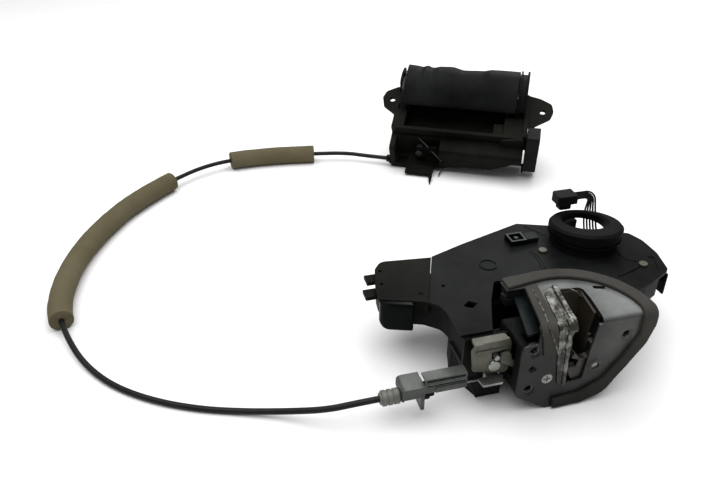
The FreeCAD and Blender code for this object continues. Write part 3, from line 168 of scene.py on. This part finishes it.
def dimmed(tree, colour, place, axis, low, high, left):
    """Painted shade: the colour, down to a share of itself at the low place on the axis."""
    height = tree.nodes.new("ShaderNodeSeparateXYZ")
    fade = tree.nodes.new("ShaderNodeMapRange")
    fade.inputs["From Min"].default_value = low
    fade.inputs["From Max"].default_value = high
    fade.inputs["To Min"].default_value = left
    shaded = tree.nodes.new("ShaderNodeMix")
    shaded.data_type = "RGBA"
    shaded.blend_type = "MULTIPLY"
    shaded.inputs[MIX_SHARE].default_value = 1.0
    tree.links.new(place.outputs["Object"], height.inputs["Vector"])
    tree.links.new(height.outputs[axis], fade.inputs["Value"])
    tree.links.new(colour, shaded.inputs[MIX_FIRST])
    tree.links.new(fade.outputs["Result"], shaded.inputs[MIX_SECOND])
    return shaded.outputs[MIX_RESULT]


def finish(name, dark, light, patch, rough, grain, depth, metal=0.0, contrast=0.35, middle=0.5,
           shine=0.5, dim=(), dust_and_sheen=None):
    """A worn surface: two tones that drift, uneven gloss and a fine raised grain.

    patch and grain are how fine the drift and the grain are, rough the least and the most roughness.
    dim holds (axis, low place, high place, share of the colour left at the low one) and paints shade. The
    last argument is the tone of what faces upwards, partly dusty and partly painted light from above."""
    made = bpy.data.materials.new(name)
    made.use_nodes = True
    tree = made.node_tree
    shader = tree.nodes["Principled BSDF"]
    shader.inputs["Metallic"].default_value = metal
    shader.inputs["Specular IOR Level"].default_value = shine
    place = tree.nodes.new("ShaderNodeTexCoord")
    drift = tree.nodes.new("ShaderNodeTexNoise")
    drift.inputs["Scale"].default_value = patch
    drift.inputs["Detail"].default_value = 6.0
    drift.inputs["Roughness"].default_value = 0.6
    tones = tree.nodes.new("ShaderNodeValToRGB")
    low_tone, high_tone = tones.color_ramp.elements
    low_tone.position = middle - contrast / 2
    high_tone.position = middle + contrast / 2
    low_tone.color = (*dark, 1.0)
    high_tone.color = (*light, 1.0)
    gloss = tree.nodes.new("ShaderNodeMapRange")
    gloss.inputs["To Min"].default_value = rough[0]
    gloss.inputs["To Max"].default_value = rough[1]
    pores = tree.nodes.new("ShaderNodeTexNoise")
    pores.inputs["Scale"].default_value = grain
    pores.inputs["Detail"].default_value = 3.0
    raised = tree.nodes.new("ShaderNodeBump")
    raised.inputs["Strength"].default_value = 0.6
    raised.inputs["Distance"].default_value = depth
    tree.links.new(place.outputs["Object"], drift.inputs["Vector"])
    tree.links.new(place.outputs["Object"], pores.inputs["Vector"])
    tree.links.new(drift.outputs["Fac"], tones.inputs["Fac"])
    colour = tones.outputs["Color"]
    if dust_and_sheen:
        colour = dust_and_sheen_on(tree, colour, drift, dust_and_sheen)
    for axis, low, high, left in dim:
        colour = dimmed(tree, colour, place, axis, low, high, left)
    tree.links.new(colour, shader.inputs["Base Color"])
    tree.links.new(pores.outputs["Fac"], gloss.inputs["Value"])
    tree.links.new(gloss.outputs["Result"], shader.inputs["Roughness"])
    tree.links.new(pores.outputs["Fac"], raised.inputs["Height"])
    tree.links.new(raised.outputs["Normal"], shader.inputs["Normal"])
    return made


conduit_black = finish("conduit_black", dark=(0.002, 0.002, 0.002), light=(0.008, 0.008, 0.008), patch=60,
                       rough=(0.35, 0.55), grain=900, depth=0.0001, shine=0.2)
cable = rounded_line("cable_line", spline_of("cable_line", CABLE_ROUTE), CONDUIT_RADIUS)
cable.data.materials.append(conduit_black)

# Foam sleeves: two lengths of soft beige tube slipped over the conduit so that it doesn't rattle.
# They are cut square, a little crushed and soiled in patches, and only their own grip holds them.

SLEEVE_RADIUS = 0.0098
SLEEVE_CUT_EDGE = 0.0009
SLEEVE_CUT_ANGLE = math.radians(50)
LONG_SLEEVE_ENDS = [(-0.3212, 0.1785, -0.0285), (-0.2245, 0.4070, -0.0275)]
SHORT_SLEEVE_ENDS = [(-0.1569, 0.4440, -0.0275), (-0.0590, 0.4370, -0.0275)]

foam_beige = finish("sleeve_foam", dark=(0.088, 0.074, 0.040), light=(0.118, 0.104, 0.064), patch=26,
                    rough=(0.9, 1.0), grain=1500, depth=0.0003, contrast=0.5, shine=0.1)


def line_points(points):
    """Points along the smooth line itself, read from its spline."""
    bare = bpy.data.objects.new("bare_line", spline_of("bare_line", points))
    bpy.context.scene.collection.objects.link(bare)
    bpy.context.view_layer.update()
    mesh = bpy.data.meshes.new_from_object(bare)
    spots = [v.co.copy() for v in mesh.vertices]
    bpy.data.objects.remove(bare)
    bpy.data.meshes.remove(mesh)
    return spots


def stretch_of(spots, first, last):
    """The points of the line between two places on it."""
    start = min(range(len(spots)), key=lambda i: (spots[i] - Vector(first)).length)
    end = min(range(len(spots)), key=lambda i: (spots[i] - Vector(last)).length)
    return spots[start:end + 1]


def only(thing):
    """Makes this the one object that is selected and active."""
    bpy.ops.object.select_all(action="DESELECT")
    thing.select_set(True)
    bpy.context.view_layer.objects.active = thing


def apply_all(thing):
    """Applies the object's modifiers, first to last."""
    only(thing)
    for modifier in list(thing.modifiers):
        bpy.ops.object.modifier_apply(modifier=modifier.name)


def dented(thing, size, height, level):
    """Pushes the skin in and out by slow clouds; where their grey is at the level it stays in place."""
    clouds = bpy.data.textures.new(thing.name + "_clouds", "CLOUDS")
    clouds.noise_scale = size
    clouds.noise_depth = 2
    push = thing.modifiers.new("dents", "DISPLACE")
    push.texture = clouds
    push.texture_coords = "LOCAL"
    push.mid_level = level
    push.strength = height


def foam_sleeve(name, ends, level):
    """A tube of foam round the cable between its two ends."""
    spots = stretch_of(cable_spots, *ends)
    curve = bpy.data.curves.new(name, "CURVE")
    curve.dimensions = "3D"
    line = curve.splines.new("POLY")
    line.points.add(len(spots) - 1)
    for point, spot in zip(line.points, spots):
        point.co = (*spot, 1.0)
    sleeve = rounded_line(name, curve, SLEEVE_RADIUS, steps=10)
    only(sleeve)
    bpy.ops.object.convert(target="MESH")
    sleeve = bpy.context.object
    sleeve.data.materials.clear()
    sleeve.data.materials.append(foam_beige)
    bpy.ops.object.mode_set(mode="EDIT")
    bpy.ops.mesh.select_all(action="SELECT")
    bpy.ops.mesh.remove_doubles(threshold=1e-6)
    bpy.ops.mesh.subdivide(number_cuts=1)
    bpy.ops.mesh.normals_make_consistent(inside=False)
    bpy.ops.object.mode_set(mode="OBJECT")
    edge = sleeve.modifiers.new("cut_edge", "BEVEL")
    edge.width = SLEEVE_CUT_EDGE
    edge.segments = 3
    edge.limit_method = "ANGLE"
    edge.angle_limit = SLEEVE_CUT_ANGLE
    dented(sleeve, size=0.018, height=0.0009, level=level)
    apply_all(sleeve)
    bpy.ops.object.shade_smooth_by_angle(angle=SLEEVE_CUT_ANGLE)
    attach(sleeve, "latch_set")
    return sleeve


cable_spots = line_points(CABLE_ROUTE)
sleeve_long = foam_sleeve("sleeve_long", LONG_SLEEVE_ENDS, level=0.55)
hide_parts("foam_sleeve_long")
sleeve_short = foam_sleeve("sleeve_short", SHORT_SLEEVE_ENDS, level=0.56)
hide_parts("foam_sleeve_short")
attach(cable, "latch_set")
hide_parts("cable_conduit")

# Latch face: an L of pressed steel, zinc plated and worn by years in a door's edge.
# The press tool rounds its edges, so a copy of the solid is merged and its edges are broken.

FOLD_ANGLE = math.radians(32)

# Painted shade darkens the zinc towards the left and the bottom; painted light from above, partly dusty,
# lightens its upward faces.
zinc = finish("worn_zinc", dark=(0.013, 0.013, 0.011), light=(0.095, 0.098, 0.092), patch=28,
              rough=(0.32, 0.52), grain=700, depth=0.00006, metal=0.35, shine=0.3, contrast=0.5,
              dust_and_sheen=(0.30, 0.315, 0.31), dim=[("Z", -0.012, 0.034, 0.55), ("X", 0.010, 0.080, 0.26)])


def copy_of(node):
    """A copy of a node's solid with its loose corners merged, ready for modelling."""
    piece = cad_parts[node].copy()
    piece.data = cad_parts[node].data.copy()
    piece.name = node + "_skin"
    piece.parent = None
    piece.matrix_world = Matrix.Identity(4)
    bpy.context.scene.collection.objects.link(piece)
    only(piece)
    bpy.ops.object.mode_set(mode="EDIT")
    bpy.ops.mesh.select_all(action="SELECT")
    bpy.ops.mesh.remove_doubles(threshold=2e-6)
    bpy.ops.mesh.dissolve_limited(angle_limit=math.radians(0.6))
    bpy.ops.object.mode_set(mode="OBJECT")
    return piece


def break_edges(piece, width):
    """Rounds every edge that folds by more than FOLD_ANGLE."""
    edge = piece.modifiers.new("broken_edge", "BEVEL")
    edge.width = width
    edge.segments = 2
    edge.limit_method = "ANGLE"
    edge.angle_limit = FOLD_ANGLE
    apply_all(piece)


def dressed(piece, material, body="latch_set", node=None, smooth=35):
    """The finished piece gets its material and rides on its body, in the place of its solid."""
    only(piece)
    if smooth:
        bpy.ops.object.shade_smooth_by_angle(angle=math.radians(smooth))
        level = piece.modifiers.new("level_faces", "WEIGHTED_NORMAL")
        level.keep_sharp = True
        apply_all(piece)
    piece.data.materials.clear()
    piece.data.materials.append(material)
    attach(piece, body)
    if node:
        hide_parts(node)


def softened(node, edge, material, body="latch_set"):
    """A copy of the solid with its edges broken by a small round."""
    piece = copy_of(node)
    break_edges(piece, edge)
    dressed(piece, material, body, node)


softened("latch_face_plate", edge=0.0004, material=zinc)

# Lock case: the block behind the face that carries claw and pawl, moulded in black plastic.
# It has a fine grain and is clamped between the face and the back plate.

black_plastic = finish("grained_black", dark=(0.0016, 0.0018, 0.0017), light=(0.0110, 0.0120, 0.0115),
                       patch=13, rough=(0.38, 0.60), grain=1400, depth=0.0001, shine=0.04, contrast=0.3)
softened("lock_case", edge=0.0004, material=black_plastic)

# Back plate: pressed steel sheet, zinc plated as the face is.
# It closes the case from behind and holds the ends of the pins.

softened("back_plate", edge=0.0002, material=zinc)

# Mouth liner: a thin trough of brown plastic set in the mouth, which guides the striker.
# It is painted darker towards its floor and lighter at the top, where the light falls: painted shade down in
# the mouth.

guide_brown = finish("guide_brown", dark=(0.006, 0.004, 0.002), light=(0.030, 0.024, 0.014), patch=40,
                     rough=(0.35, 0.6), grain=500, depth=0.0002, shine=0.3, contrast=0.5,
                     dim=[("Z", -0.017, 0.033, 0.15)])
softened("mouth_liner", edge=0.0003, material=guide_brown)

# Mouth bumper: a block of black rubber on the liner's floor that the striker lands on.
# It is pushed in from above, and its own stiffness holds it.

black_rubber = finish("black_rubber", dark=(0.0014, 0.0014, 0.0016), light=(0.0060, 0.0060, 0.0066), patch=40,
                      rough=(0.5, 0.75), grain=800, depth=0.0001, shine=0.05)
softened("mouth_bumper", edge=0.0005, material=black_rubber)

# Mouth film: bright metallised film stuck down the left side of the mouth, with a raised edge.
# Fingers and the striker have crumpled it, so its skin is remade in small cells and dented.

# Its pale patches are painted glints, and it is painted darker towards the bottom as painted shade.
film_bright = finish("crumpled_film", dark=(0.024, 0.023, 0.016), light=(0.40, 0.40, 0.36), patch=130,
                     rough=(0.22, 0.45), grain=900, depth=0.0001, metal=0.3, contrast=0.26, middle=0.60,
                     dim=[("Z", -0.012, 0.034, 0.35)])


def remade(piece, cell):
    """Gives the piece an even skin of small cells, which can be dented."""
    cells = piece.modifiers.new("cells", "REMESH")
    cells.mode = "VOXEL"
    cells.voxel_size = cell


film = copy_of("mouth_lip")
remade(film, cell=0.0004)
dented(film, size=0.0045, height=0.0011, level=0.55)
apply_all(film)
dressed(film, film_bright, node="mouth_lip", smooth=60)

# Plate screw: a steel screw with a cross in its head, worn bright.
# It holds the face to the lock case.

bright_steel = finish("bright_steel", dark=(0.13, 0.135, 0.125), light=(0.30, 0.31, 0.29), patch=60,
                      rough=(0.2, 0.4), grain=800, depth=0.00005, metal=0.9)
softened("plate_screw", edge=0.00015, material=bright_steel)

# Threads: three turns of the thread seen in each tapped fixing hole, cut in the steel and bright.
# The bolts from the door's edge go in here. A hole is (across, up, radius), all in millimetres.

TAPPED_HOLES = [(0, 17, 3.3), (0, -17, 3.3), (0, 2, 2.8), (69, 17, 3.3)]
THREAD_TURNS = 3
THREAD_START = 1.9
THREAD_PITCH = 0.9
THREAD_SUNK = 0.05
THREAD_RADIUS = 0.00024

for index, (across, height, radius) in enumerate(TAPPED_HOLES):
    for turn in range(THREAD_TURNS):
        bpy.ops.object.select_all(action="DESELECT")
        bpy.ops.mesh.primitive_torus_add(
            major_radius=(radius - THREAD_SUNK) / 1000, minor_radius=THREAD_RADIUS,
            major_segments=36, minor_segments=8, rotation=(math.radians(90), 0, 0),
            location=(across / 1000, (THREAD_START + THREAD_PITCH * turn) / 1000, height / 1000))
        thread = bpy.context.object
        thread.name = "thread_%d_%d" % (index, turn)
        bpy.ops.object.transform_apply(location=True, rotation=True, scale=True)
        dressed(thread, bright_steel)

# Light lines by the mouth: the film shows through a crack in the foam strip, and a painted highlight lies
# along the liner's rim. Both are drawn as fine beads, with their places in millimetres.

CRACK_ROUTE = [(15.3, 39.6, 37.15), (13.0, 24.8, 37.15), (10.1, 11.0, 37.15), (6.6, -1.2, 36.9),
               (8.1, -2.25, 32.8), (12.7, -2.3, 22.6), (16.4, -2.3, 13.0)]
RIM_ROUTE = [(29.0, 37.5, 35.4), (37.6, 37.5, 35.4), (45.7, 35.4, 35.4), (45.6, 26.0, 35.4)]


def bead(name, spots, radius, tip=1.0):
    """A thin round line near the spots, in millimetres. At its end the radius is tip times the first."""
    curve = spline_of(name, [tuple(c / 1000 for c in spot) for spot in spots])
    points = curve.splines[0].points
    for index, point in enumerate(points):
        point.radius = 1.0 + (tip - 1.0) * index / (len(points) - 1)
    line = rounded_line(name, curve, radius / 1000, steps=2)
    only(line)
    bpy.ops.object.convert(target="MESH")
    return bpy.context.object


dressed(bead("strip_crack", CRACK_ROUTE, radius=0.5), film_bright)
# The liner's rim: a painted highlight, drawn as a bright bead.
dressed(bead("liner_rim", RIM_ROUTE, radius=0.3), film_bright)

# Claw and its pin: the claw is fine blanked from hardened steel, its edges a little rounded.
# It turns on the riveted pin between face and back plate, and old grease has made it brown.

dark_steel = finish("greased_steel", dark=(0.012, 0.009, 0.006), light=(0.050, 0.045, 0.038), patch=70,
                    rough=(0.25, 0.6), grain=500, depth=0.0002, metal=0.5)
softened("claw", edge=0.0005, material=dark_steel, body="claw")
softened("claw_pin", edge=0.0003, material=bright_steel)

# Pawl, its pin and its lever: the pawl is blanked steel that blocks the claw.
# The lever is cut from passivated sheet and sits on the same pin, behind the back plate.

cream_zinc = finish("passivated_zinc", dark=(0.036, 0.036, 0.026), light=(0.115, 0.115, 0.088), patch=60,
                    rough=(0.35, 0.6), grain=700, depth=0.00006, metal=0.4, contrast=0.5)
softened("pawl", edge=0.0004, material=dark_steel, body="pawl")
softened("pawl_pin", edge=0.0002, material=bright_steel, body="pawl")
softened("pawl_lever", edge=0.0002, material=cream_zinc, body="pawl")

# Foam gasket and strip: closed-cell foam cut from sheet and stuck on the face and its flange.
# Their edges are soft and the lower part of the ring is squashed; both are painted darker towards the bottom,
# as painted shade.

grey_foam = finish("gasket_foam", dark=(0.036, 0.035, 0.031), light=(0.058, 0.056, 0.050), patch=35,
                   rough=(0.85, 1.0), grain=1600, depth=0.0003, contrast=0.5, shine=0.1,
                   dim=[("Z", -0.035, 0.036, 0.40)])


def foam_skin(node, cell, height):
    """A copy of the solid with soft corners and an uneven skin."""
    piece = copy_of(node)
    remade(piece, cell)
    soft = piece.modifiers.new("soft", "SMOOTH")
    soft.factor = 0.5
    soft.iterations = 4
    dented(piece, size=0.012, height=height, level=0.55)
    apply_all(piece)
    bpy.ops.object.shade_smooth()
    dressed(piece, grey_foam, node=node, smooth=None)


foam_skin("foam_gasket", cell=0.0007, height=0.0005)
foam_skin("foam_strip", cell=0.0005, height=0.0003)

# Lever bracket, release lever and rivet: sheet steel cut and folded, the bracket passivated yellow.
# The lever swings on its rivet behind the bracket and takes the wire's nipple in a slot.

softened("lever_bracket", edge=0.0003, material=cream_zinc)
softened("release_lever", edge=0.0003, material=bright_steel, body="release_lever")
softened("lever_rivet", edge=0.0004, material=bright_steel)

# Cable rail: a folded channel of zinc plated steel from the cable bracket to the housing.
# Pressed lines run along its front: two are drawn as dark beads, the second as a bright bead, a painted
# highlight. Their places are in millimetres.

RAIL_LEFT, RAIL_RIGHT = -69.5, -42.0
RAIL_FRONT = 13.45

# Its upward faces are made lighter, partly dusty and partly painted light from above.
rail_zinc = finish("rail_zinc", dark=(0.016, 0.018, 0.016), light=(0.075, 0.080, 0.074), patch=80,
                   rough=(0.3, 0.55), grain=700, depth=0.00006, metal=0.5, contrast=0.6,
                   dust_and_sheen=(0.130, 0.138, 0.130))
gloss_black = finish("gloss_black", dark=(0.0012, 0.0020, 0.0018), light=(0.0035, 0.0050, 0.0045), patch=40,
                     rough=(0.08, 0.22), grain=500, depth=0.00005, shine=0.06)
softened("cable_rail", edge=0.0003, material=rail_zinc)
for name, height, material in [("rail_line_one", -4.6, gloss_black), ("rail_line_two", -8.2, bright_steel),
                               ("rail_line_three", -9.2, gloss_black)]:
    route = [(RAIL_LEFT, RAIL_FRONT, height), (RAIL_RIGHT, RAIL_FRONT, height)]
    dressed(bead(name, route, radius=0.3), material)

# Bracket highlight: a painted highlight along the upper edge of the lever bracket.
# It is drawn as a fine bead, in the pale tone that the ferrule has too. Its places are in millimetres.

BRACKET_HIGHLIGHT_ROUTE = [(-31.0, 13.6, 20.6), (-24.5, 13.6, 20.9)]

light_plastic = finish("light_plastic", dark=(0.07, 0.07, 0.06), light=(0.14, 0.14, 0.128), patch=60,
                       rough=(0.4, 0.6), grain=900, depth=0.0001)
dressed(bead("bracket_highlight", BRACKET_HIGHLIGHT_ROUTE, radius=0.55), light_plastic)

# Cable bracket: a folded steel cap over the ferrule, with a leg in front of the cable.
# It is zinc plated like the rail. Its left cheek is cut shorter than the leg.

CHEEK_RIGHT = -0.0845
CHEEK_FOOT = -0.0190
CHEEK_CUT_UNDER = -0.0205

cap = copy_of("cable_bracket")
for vertex in cap.data.vertices:
    if vertex.co.x < CHEEK_RIGHT and vertex.co.z < CHEEK_CUT_UNDER:
        vertex.co.z = CHEEK_FOOT
break_edges(cap, width=0.0004)
dressed(cap, rail_zinc, node="cable_bracket")

# Ferrule, bush and inner wire: the ribbed ferrule of pale plastic is clipped in the bracket.
# The stepped bush is rubber, and the bare steel wire runs on from it to the lever.

softened("cable_ferrule", edge=0.0003, material=light_plastic)
softened("cable_bush", edge=0.0004, material=black_rubber)
softened("inner_wire", edge=0.0001, material=bright_steel, body="inner_wire")

# Housing base: the lower half of the case for the lock's motor, moulded in black plastic.
# The cover is screwed down on it along a seam.

softened("housing_base", edge=0.0006, material=black_plastic)

# Housing cover: the upper half, of the same plastic, with a groove and a recess in its deck.
# Low ribs stand on the deck round the ring seal. Places and sizes here are in millimetres.

DECK = 20.5
GROOVE_ROUTE = [(62.5, 146.2, DECK), (68.6, 136.1, DECK), (73.0, 126.8, DECK)]
RECESS_CORNERS = [(140.9, 76.0), (137.0, 78.0), (131.5, 64.5), (135.0, 62.0)]
RECESS_FLOOR, RECESS_TOP = 19.7, 23
DECK_RIBS = [
    ("rib_one", 0.4, [(48.7, 109.3), (50.6, 102.7), (50.3, 95.3), (48.6, 87.1), (46.8, 80.5)]),
    ("rib_two", 0.4, [(51.3, 109.3), (52.9, 102.1), (52.6, 94.7), (51.2, 86.4), (49.7, 81.1)]),
    ("rib_right", 0.5, [(116.8, 89.5), (116.5, 82.0), (119.3, 75.4), (124.2, 73.3)]),
    ("rib_low", 0.8, [(98.6, 58.9), (106.8, 60.9), (116.5, 64.2), (123.5, 67.5), (126.8, 70.5)])]


def carved(piece, cutter):
    """Takes the cutter's shape out of the piece."""
    cut = piece.modifiers.new("cut", "BOOLEAN")
    cut.operation = "DIFFERENCE"
    cut.solver = "EXACT"
    cut.object = cutter
    apply_all(piece)
    bpy.data.objects.remove(cutter)


def moulding(name, outline, low, high, edge=0.0, place=Matrix.Identity(4)):
    """A flat outline given thickness and, if asked, broken edges; sizes in millimetres."""
    curve = bpy.data.curves.new(name, "CURVE")
    curve.dimensions = "2D"
    curve.fill_mode = "BOTH"
    spline = curve.splines.new("POLY")
    spline.points.add(len(outline) - 1)
    for point, (x, y) in zip(spline.points, outline):
        point.co = (x / 1000, y / 1000, 0.0, 1.0)
    spline.use_cyclic_u = True
    curve.extrude = (high - low) / 2000
    thing = bpy.data.objects.new(name, curve)
    bpy.context.scene.collection.objects.link(thing)
    only(thing)
    bpy.ops.object.convert(target="MESH")
    thing = bpy.context.object
    bpy.ops.object.mode_set(mode="EDIT")
    bpy.ops.mesh.select_all(action="SELECT")
    bpy.ops.mesh.remove_doubles(threshold=1e-6)
    bpy.ops.mesh.normals_make_consistent(inside=False)
    bpy.ops.object.mode_set(mode="OBJECT")
    thing.data.transform(place @ Matrix.Translation((0.0, 0.0, (low + high) / 2000)))
    if edge:
        break_edges(thing, edge / 1000)
    return thing


cover = copy_of("housing_cover")
carved(cover, bead("groove_left", GROOVE_ROUTE, radius=0.7))
carved(cover, moulding("recess_right", RECESS_CORNERS, RECESS_FLOOR, RECESS_TOP))
break_edges(cover, width=0.0006)
dressed(cover, black_plastic, node="housing_cover")
for name, radius, spots in DECK_RIBS:
    dressed(bead(name, [(x, y, DECK) for x, y in spots], radius), black_plastic)

# Arm cover: a flat lid of aged black plastic, snapped on the arm that reaches out to the left.
# It has three small holes, each (across, back, radius, depth) in millimetres.

ARM_TOP = 19.9
ARM_HOLES = [(-73.7, 113.6, 1.4, 2.0), (-77.4, 96.9, 1.4, 2.0), (-53.1, 77.4, 1.7, 0.7)]
HOLE_SIDES = 14
CUTTER_ABOVE = 2

olive_black = finish("aged_black", dark=(0.0014, 0.0016, 0.0011), light=(0.0090, 0.0096, 0.0068), patch=20,
                     rough=(0.40, 0.62), grain=1400, depth=0.0001, shine=0.04, contrast=0.4)


def disc(x, y, radius):
    """The outline of a round hole."""
    turns = [2 * math.pi * i / HOLE_SIDES for i in range(HOLE_SIDES)]
    return [(x + radius * math.cos(turn), y + radius * math.sin(turn)) for turn in turns]


arm = copy_of("arm_cover")
for across, back, radius, depth in ARM_HOLES:
    carved(arm, moulding("arm_hole", disc(across, back, radius), ARM_TOP - depth, ARM_TOP + CUTTER_ABOVE))
break_edges(arm, width=0.0006)
dressed(arm, olive_black, node="arm_cover")

# Arm front cover: a glossy black cap over the arm's front, its lower left corner rounded.
# It is moulded in a harder plastic and snaps on the arm.

softened("arm_front_cover", edge=0.0006, material=gloss_black)

# Ring seal: a thick ring of black rubber pressed over the collar on the housing's deck.
# Its bore leans away to the back, so the inner corners of the copy are moved that way.

RING_CENTRE = Vector((0.0990, 0.1115))
RING_KEPT_RADIUS = 0.0285
RING_FADE = 0.0105
BORE_SHIFT_X, BORE_SHIFT_Y = 0.0012, 0.0052

ring = copy_of("ring_seal")
for vertex in ring.data.vertices:
    away = (vertex.co.xy - RING_CENTRE).length
    share = min(1.0, max(0.0, (RING_KEPT_RADIUS - away) / RING_FADE))
    vertex.co.x += BORE_SHIFT_X * share
    vertex.co.y += BORE_SHIFT_Y * share
break_edges(ring, width=0.0008)
dressed(ring, black_rubber, node="ring_seal")

# Clips and screws of the housing: black and grey mouldings, and two passivated steel screws.
# The wire clip and its block stand on the deck, and the end clip hangs at the housing's right end.

grey_plastic = finish("grey_plastic", dark=(0.0022, 0.0032, 0.0036), light=(0.0075, 0.0105, 0.0115), patch=60,
                      rough=(0.30, 0.5), grain=900, depth=0.0001, shine=0.06)
softened("wire_clip", edge=0.0003, material=gloss_black)
softened("clip_block", edge=0.0005, material=grey_plastic)
softened("end_clip", edge=0.0003, material=black_plastic)
softened("housing_screws", edge=0.0003, material=cream_zinc)

# Child lock: a blade of grey plastic in a slot of the lock case, turned with a finger or a key.
# It swings a little on its steel pin.

softened("blade_lever", edge=0.0004, material=grey_plastic, body="blade_lever")
softened("blade_pin", edge=0.0002, material=bright_steel)

# Pigtail: thin wires of the lock's motor in black insulation, up through the ring and over.
# They are crimped in a black plastic connector.

softened("pigtail_connector", edge=0.0006, material=black_plastic)
softened("pigtail_wires", edge=0.0001, material=black_rubber)

# Handle frame and body: a pocket with two ears and the box under it, moulded in grained black.
# Screws through the ears hold the frame to the door's trim.

softened("handle_frame", edge=0.0006, material=olive_black)
softened("handle_body", edge=0.0006, material=olive_black)

# Cable gland and socket block: black mouldings at the two ends of the handle's body.
# The gland grips the conduit's end.

softened("cable_gland", edge=0.0006, material=black_plastic)
softened("socket_block", edge=0.0006, material=black_plastic)

# Grip flap: a half barrel of grained black plastic that a hand pulls up, hinged on a steel pin.
# Its uneven top is given by (place along the pin, how far the skin stands out), in millimetres in
# the handle's own frame. Turns round the pin are in degrees.

HANDLE_PLACE = (Matrix.Translation((0.111, 0.393, 0.0325)) @ Matrix.Rotation(math.radians(-28.8), 4, "Z")
                @ Matrix.Rotation(math.radians(28.0), 4, "X"))
FLAP_CENTRE = Vector((15.0, 4.0))
FLAP_CELL = 0.0008
FLAP_DENTS = [(-80, -0.4), (-70, -0.8), (-62, -1.2), (-54, -2.2), (-49, -0.6), (-42, -2.3), (-33, -0.5),
              (-21, 0.0), (-6, -2.8), (14, -2.0), (26, 0.0), (38, 0.2), (60, 0.0)]
DENTS_END = 58
SKIN_RADIUS = 20
FIRST_TURN, LAST_TURN = 2, 150
FIRST_FADE, LAST_FADE = 25, 60


def dent_at(across):
    """How far the skin stands out at this place along the pin, eased from one dent to the next."""
    first = FLAP_DENTS[0][0]
    near = max(i for i in range(len(FLAP_DENTS) - 1) if FLAP_DENTS[i][0] <= max(across, first))
    (x0, d0), (x1, d1) = FLAP_DENTS[near:near + 2]
    along = (across - x0) / (x1 - x0)
    return d0 + (d1 - d0) * along * along * (3 - 2 * along)


flap = copy_of("grip_flap")
remade(flap, FLAP_CELL)
apply_all(flap)
to_handle = HANDLE_PLACE.inverted()
for vertex in flap.data.vertices:
    spot = to_handle @ vertex.co * 1000
    out = Vector((spot.y, spot.z)) - FLAP_CENTRE
    turn = math.degrees(math.atan2(out.y, out.x))
    if spot.x > DENTS_END or out.length < SKIN_RADIUS or not FIRST_TURN < turn < LAST_TURN:
        continue
    share = min(1.0, (turn - FIRST_TURN) / FIRST_FADE) * min(1.0, (LAST_TURN - turn) / LAST_FADE)
    out = out * (1 + dent_at(spot.x) * share / out.length)
    vertex.co = HANDLE_PLACE @ (Vector((spot.x, FLAP_CENTRE.x + out.x, FLAP_CENTRE.y + out.y)) / 1000)
dressed(flap, black_plastic, "grip_flap", "grip_flap")

# Flap end: the solid disc that closes the half barrel at its right end.
# It is one with the flap. Its outline lies across the pin, so its plane is turned to face along it.

ACROSS_PIN = HANDLE_PLACE @ Matrix(((0, 0, 1, 0), (1, 0, 0, 0), (0, 1, 0, 0), (0, 0, 0, 1)))
FLAP_END_RADIUS = 25.5
FLAP_END_LEFT, FLAP_END_RIGHT = 57.2, 66.6

end_turns = [math.radians(turn) for turn in range(-6, 175, 6)]
flap_end_outline = [(FLAP_CENTRE.x + FLAP_END_RADIUS * math.cos(turn),
                     FLAP_CENTRE.y + FLAP_END_RADIUS * math.sin(turn)) for turn in end_turns]
flap_end = moulding("flap_end", flap_end_outline, FLAP_END_LEFT, FLAP_END_RIGHT, edge=0.5, place=ACROSS_PIN)
dressed(flap_end, black_plastic, "grip_flap")

# Crank rod: a short zinc plated steel rod fixed to the bell crank, which passes the flap's pull on.
# Its places are in millimetres in the handle's own frame.

ROD_ROUTE = [(-48.5, -44.9, -9.5), (-33.9, -54.7, -16.8), (-19.2, -64.5, -24.0)]

rod_spots = [tuple(1000 * c for c in HANDLE_PLACE @ (Vector(spot) / 1000)) for spot in ROD_ROUTE]
dressed(bead("crank_rod", rod_spots, radius=0.75), zinc, "bell_crank")

# Spring leg and feet under the handle: a bright steel wire bent along the body's lower edge,
# and two pointed fins that are moulded with the frame. Places are in millimetres.

LEG_ROUTE = [(105.3, 365.9, -30.5), (92.8, 368.6, -31.5), (81.3, 370.5, -33.5), (74.0, 367.5, -35.0),
             (69.3, 359.4, -36.3)]
SPIKE_ROUTE = [(57.8, 356.8, -33.5), (55.2, 350.1, -35.0), (52.1, 342.8, -36.5)]
FIN_ROUTE = [(169.0, 348.1, -29.5), (165.0, 341.9, -32.5), (162.7, 337.9, -34.5)]

dressed(bead("spring_leg", LEG_ROUTE, radius=0.8), bright_steel)
dressed(bead("foot_spike", SPIKE_ROUTE, radius=2.4, tip=0.15), olive_black)
dressed(bead("foot_fin", FIN_ROUTE, radius=2.6, tip=0.2), olive_black)

# Flap pin and spring: the bright steel pin is pushed through the frame's cheeks.
# The spring is wound from steel wire, sits round the pin and pulls the flap shut.

softened("flap_pin", edge=0.0002, material=bright_steel)
softened("flap_spring", edge=0.0001, material=bright_steel)

# Bell crank and its pin: a glossy black moulding on a greased steel pin under the flap.
# It turns the flap's pull into a pull on the cable.

softened("bell_crank", edge=0.0004, material=gloss_black, body="bell_crank")
softened("crank_pin", edge=0.0003, material=dark_steel)

# Pocket insert: the floor of the pocket behind the flap, a plain black moulding.
# It is snapped into the frame.

softened("pocket_insert", edge=0.0004, material=olive_black)
